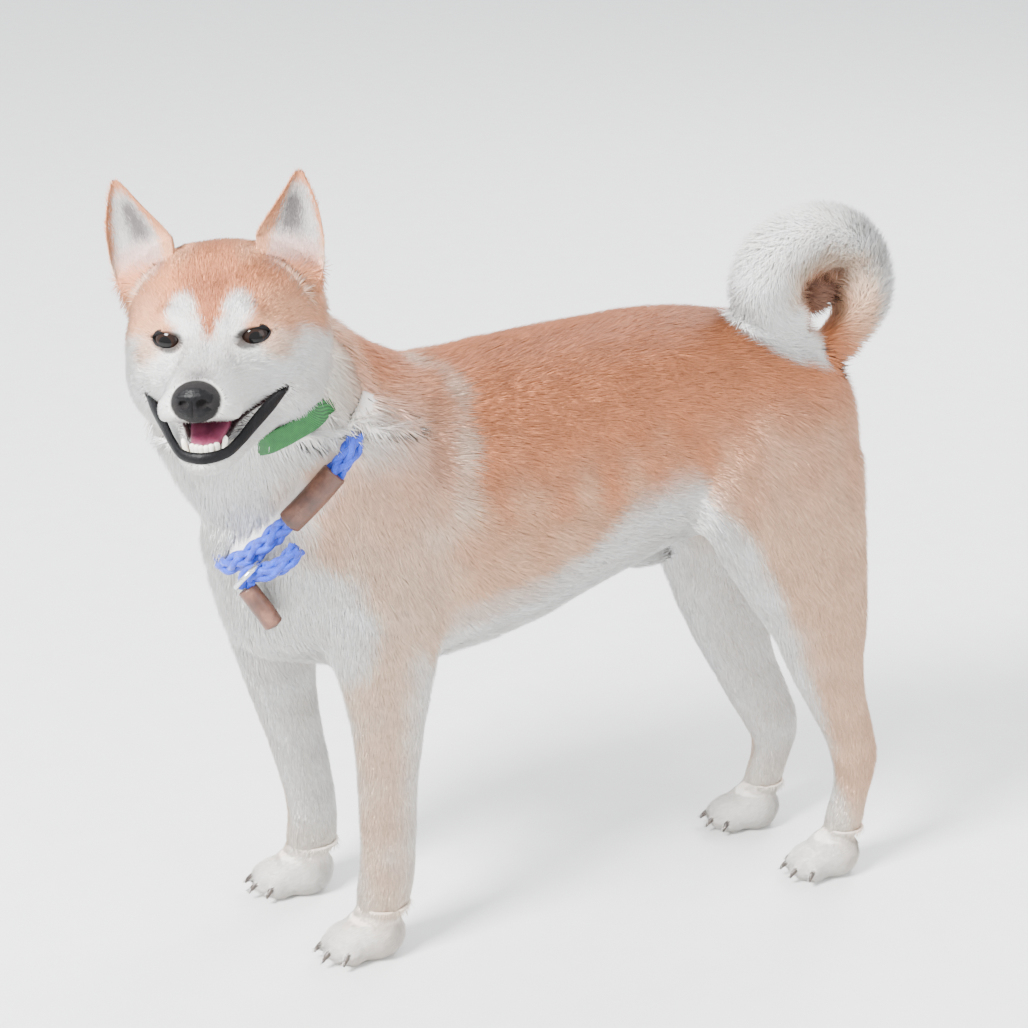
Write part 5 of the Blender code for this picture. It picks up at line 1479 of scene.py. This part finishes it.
def dark_skin_material():
    """Black, finely pebbled, moist skin of the nose, lids and lips."""
    material, shader, s = new_material("dark_skin", 0.42, Specular_IOR_Level=0.14)
    place = object_place(s)
    cells = s.node("ShaderNodeTexVoronoi", {"feature": "F1"}, Vector=place, Scale=900.0)
    pebbles = Sock(s.tree, cells.outputs["Distance"])
    patches = noise(s, place, 120.0, 3.0)
    tone = ramp(s, patches, (0.30, srgb(4, 4, 5)), (0.55, srgb(10, 9, 11)), (0.80, srgb(22, 20, 23)))
    linked(s, shader, Base_Color=tone, Roughness=0.34 + 0.25 * patches, Normal=bumped(s, 1.0 - pebbles, 0.0002, 0.7))
    return material


def tongue_material():
    material, shader, s = new_material("tongue", 0.38, Subsurface_Weight=0.05, Specular_IOR_Level=0.3)
    place = object_place(s)
    grain = noise(s, place, 1400.0, 2.0)
    patches = noise(s, place, 90.0, 3.0)
    tone = ramp(s, patches, (0.30, srgb(120, 54, 78)), (0.70, srgb(158, 80, 104)))
    linked(s, shader, Base_Color=tone, Normal=bumped(s, grain, 0.0002, 0.6))
    return material


def teeth_material():
    material, shader, s = new_material("teeth", 0.22, Coat_Weight=0.3)
    tone = ramp(s, noise(s, object_place(s), 260.0, 3.0), (0.30, srgb(232, 222, 198)), (0.70, srgb(250, 247, 240)))
    linked(s, shader, Base_Color=tone)
    return material


def claw_material():
    material, shader, s = new_material("claw", 0.35)
    lines = noise(s, s_scale(s, object_place(s), (1.0, 1.0, 0.15)), 900.0, 3.0)
    linked(s, shader, Base_Color=ramp(s, lines, (0.30, srgb(34, 29, 27)), (0.75, srgb(86, 74, 66))),
           Normal=bumped(s, lines, 0.0001, 0.6))
    return material


def web_material():
    """Woven webbing: fine ribs across a diagonal weave."""
    material, shader, s = new_material("collar_web", 0.62, Sheen_Weight=0.15)
    place = object_place(s)
    ribs = s.node("ShaderNodeTexWave", {"wave_type": "BANDS", "bands_direction": "DIAGONAL"}, Vector=place,
                  Scale=520.0, Distortion=0.6, Detail=1.0)
    weave = Sock(s.tree, ribs.outputs[1])
    tone = ramp(s, 0.5 * weave + 0.5 * noise(s, place, 300.0, 3.0), (0.25, srgb(0, 58, 18)), (0.75, srgb(6, 112, 36)))
    linked(s, shader, Base_Color=tone, Normal=bumped(s, weave, 0.0003, 0.7))
    return material


def rope_material():
    """Bright blue yarn with paler flecks."""
    material, shader, s = new_material("rope", 0.60, Sheen_Weight=0.2)
    place = object_place(s)
    yarn = noise(s, place, 1500.0, 3.0, 0.65)
    patches = noise(s, place, 240.0, 2.0)
    tone = ramp(s, 0.6 * yarn + 0.4 * patches, (0.30, srgb(0, 24, 112)), (0.55, srgb(2, 56, 190)),
                (0.75, srgb(24, 104, 236)))
    linked(s, shader, Base_Color=tone, Normal=bumped(s, yarn, 0.0004, 0.8))
    return material


def leather_material():
    material, shader, s = new_material("leather", 0.45, Coat_Weight=0.1)
    place = object_place(s)
    grain = s.node("ShaderNodeTexVoronoi", {"feature": "F1"}, Vector=place, Scale=1100.0)
    wear = noise(s, place, 70.0, 4.0, 0.6)
    tone = ramp(s, wear, (0.30, srgb(54, 32, 24)), (0.55, srgb(86, 52, 38)), (0.80, srgb(130, 88, 70)))
    linked(s, shader, Base_Color=tone, Roughness=0.34 + 0.3 * wear,
           Normal=bumped(s, Sock(s.tree, grain.outputs["Distance"]), 0.00015, 0.6))
    return material


def ring_material():
    material, shader, s = new_material("ring", 0.22, Metallic=1.0)
    marks = noise(s, s_scale(s, object_place(s), (1.0, 1.0, 4.0)), 600.0, 3.0)
    linked(s, shader, Base_Color=ramp(s, marks, (0.3, srgb(176, 178, 182)), (0.7, srgb(226, 228, 230))),
           Roughness=0.15 + 0.25 * marks)
    return material


def floor_material(colour):
    material, shader, s = new_material("floor", 0.85)
    grain = noise(s, object_place(s), 35.0, 4.0)
    low, high = (np.array(colour) * k for k in (0.98, 1.02))
    linked(s, shader, Base_Color=ramp(s, grain, (0.3, low), (0.7, high)))
    return material


def unwrap(item):
    """An unwrap of the item's own shape, under the name that the coat's tufts share."""
    item.data.uv_layers.new(name="OFBake")
    bpy.context.view_layer.objects.active = item
    item.select_set(True)
    bpy.ops.object.mode_set(mode="EDIT")
    bpy.ops.mesh.select_all(action="SELECT")
    bpy.ops.uv.smart_project(angle_limit=math.radians(66), island_margin=0.002)
    bpy.ops.object.mode_set(mode="OBJECT")
    item.select_set(False)


def piece(name, mesh, material, slot, *nodes):
    """A finished piece that rides on the body, with its material and the nodes it stands for, which it hides; the
    slot is not used.
    """
    item = new_object(name, mesh)
    mesh.materials.clear()
    mesh.materials.append(material)
    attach(item, "root")
    if nodes:
        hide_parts(*nodes)
    return item


class DogSizes(bpy.types.PropertyGroup):
    floor_size: FloatProperty(name="Floor size", description="Side of the pale floor", default=18.0, unit="LENGTH")
    floor_colour: FloatVectorProperty(name="Floor", description="Colour of the floor", default=(0.72, 0.72, 0.71),
                                      subtype="COLOR")
    lens: FloatProperty(name="Lens", description="Focal length of the camera", default=93.2, unit="CAMERA")
    surround: FloatProperty(name="Surround", description="Strength of the light from all round", default=2.0)
    key_power: FloatProperty(name="Key light", description="Power of the light from the front", default=380.0,
                             unit="POWER")
    fill_power: FloatProperty(name="Fill light", description="Power of the light from the dog's left", default=30.0,
                              unit="POWER")
    rim_power: FloatProperty(name="Rim light", description="Power of the light from behind", default=80.0,
                             unit="POWER")


class DOG_OT_coat(bpy.types.Operator):
    """Make the skin and the coat"""

    bl_idname = "dog.coat"
    bl_label = "Skin and coat"

    def execute(self, context):
        skin, head_faces = skin_mesh()
        item = new_object("skin", skin)
        unwrap(item)
        mesh = item.data
        points, normals = points_of(mesh), normals_of(mesh)
        tones = np.ones((len(points), 4))
        # The skin takes the coat's colours 15% darker: painted shade between the tufts.
        tones[:, :3] = markings(points, normals) * 0.85
        store_colour(mesh, "coat", tones)
        store_vector(mesh, "lie", coat_at(points, normals)[0])
        mesh.materials.append(skin_material())
        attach(item, "root")
        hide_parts(*HEAD_FLESH, *EARS, *BODY_FLESH, *TAIL_FLESH)
        material = coat_material()
        for tufts in coat_pieces(mesh, head_faces):
            piece(tufts.name, tufts, material, "coat")
        return {"FINISHED"}


class DOG_OT_face(bpy.types.Operator):
    """Make the eyes, lids, nose, lips, tongue, teeth and claws"""

    bl_idname = "dog.face"
    bl_label = "Face and claws"

    def execute(self, context):
        eye, dark = eye_material(), dark_skin_material()
        for side, word in ((1, "left"), (-1, "right")):
            piece("eyeball_" + word, eye_ball("eyeball", side), eye, "eye", "eye_" + word)
            piece("lid_" + word, lid_mesh("lid", side), dark, "dark_skin", "lids_" + word)
        piece("nose_skin", nose_mesh(), dark, "dark_skin", "nose")
        piece("lips", lip_mesh(), dark, "dark_skin", "lip")
        piece("tongue_fine", tongue_mesh(), tongue_material(), "tongue", "tongue")
        piece("teeth_fine", teeth_mesh(), teeth_material(), "teeth", "teeth_lower")
        piece("claws", claw_pieces(), claw_material(), "claw")
        return {"FINISHED"}


class DOG_OT_worn(bpy.types.Operator):
    """Make the webbing collar and the rope collar"""

    bl_idname = "dog.worn"
    bl_label = "Collars"

    def execute(self, context):
        rope, leather = rope_material(), leather_material()
        piece("webbing", strap_mesh(), web_material(), "collar_web", "collar")
        line, hidden = rope_line(29, 364)
        middle_at = np.array(PLACE @ Vector(ROPE_CENTRE))
        line = line - unit(line - middle_at) * (0.0060 * hidden)[:, None]
        piece("braid", braided("braid", line, rope), rope, "rope", "rope")
        path = moved(PLACE, curve_rows(STRAND, 8))
        piece("braid_end", braided("braid_end", path, rope, Spread=0.0034, Weave=0.0008, Thickness=0.0021), rope,
              "rope", "strand")
        for node in ("sleeve", "ferrule"):
            piece(node + "_leather", refined(node, 0.0008, 3), leather, "leather", node)
        piece("ring_metal", refined("ring", 0.0005, 6), ring_material(), "ring", "ring")
        return {"FINISHED"}


class DOG_OT_stage(bpy.types.Operator):
    """Make the floor, the lights and the camera"""

    bl_idname = "dog.stage"
    bl_label = "Stage"

    def execute(self, context):
        sizes = context.scene.dog_sizes
        half = sizes.floor_size / 2
        floor = new_object("floor", mesh_from("floor", [(-half, -half, 0), (half, -half, 0), (half, half, 0),
                                                        (-half, half, 0)], [(0, 1, 2, 3)]))
        floor.data.materials.append(floor_material(sizes.floor_colour))
        world = bpy.data.worlds.new("studio")
        world.use_nodes = True
        world.node_tree.nodes["Background"].inputs["Color"].default_value = (0.93, 0.96, 1.0, 1)
        world.node_tree.nodes["Background"].inputs["Strength"].default_value = sizes.surround
        context.scene.world = world
        for name, place, size, power in (("key", (1.0, -2.0, 2.3), 0.9, sizes.key_power),
                                         ("fill", (2.2, 1.2, 1.4), 1.6, sizes.fill_power),
                                         ("rim", (-1.4, 1.6, 2.0), 1.2, sizes.rim_power)):
            light = bpy.data.lights.new(name, "AREA")
            light.energy, light.size = power, size
            item = bpy.data.objects.new(name, light)
            item.location = place
            item.rotation_euler = (Vector((0, 0, 0.25)) - Vector(place)).to_track_quat("-Z", "Y").to_euler()
            context.scene.collection.objects.link(item)
        camera = bpy.data.cameras.new("camera")
        camera.lens, camera.sensor_width = sizes.lens, 36
        camera.clip_start = 0.05
        item = bpy.data.objects.new("camera", camera)
        item.location = PLACE @ Vector((1.5417, -0.5596, 0.8945))
        item.rotation_mode = "QUATERNION"
        item.rotation_quaternion = Vector((-0.8843, 0.3043, -0.3544)).to_track_quat("-Z", "Y")
        context.scene.collection.objects.link(item)
        context.scene.camera = item
        return {"FINISHED"}


class DOG_PT_panel(bpy.types.Panel):
    bl_idname = "DOG_PT_panel"
    bl_label = "Dog"
    bl_space_type = "VIEW_3D"
    bl_region_type = "UI"
    bl_category = "Dog"

    def draw(self, context):
        for operator in OPERATORS:
            self.layout.operator(operator.bl_idname)
        for name in DogSizes.__annotations__:
            self.layout.prop(context.scene.dog_sizes, name)


OPERATORS = (DOG_OT_stage, DOG_OT_coat, DOG_OT_face, DOG_OT_worn)
CLASSES = (DogSizes, *OPERATORS, DOG_PT_panel)


def register():
    for kind in CLASSES:
        bpy.utils.register_class(kind)
    bpy.types.Scene.dog_sizes = PointerProperty(type=DogSizes)


def unregister():
    del bpy.types.Scene.dog_sizes
    for kind in reversed(CLASSES):
        bpy.utils.unregister_class(kind)


def main():
    register()
    bpy.ops.dog.stage()
    bpy.ops.dog.coat()
    bpy.ops.dog.face()
    bpy.ops.dog.worn()


if __name__ == "__main__":
    main()
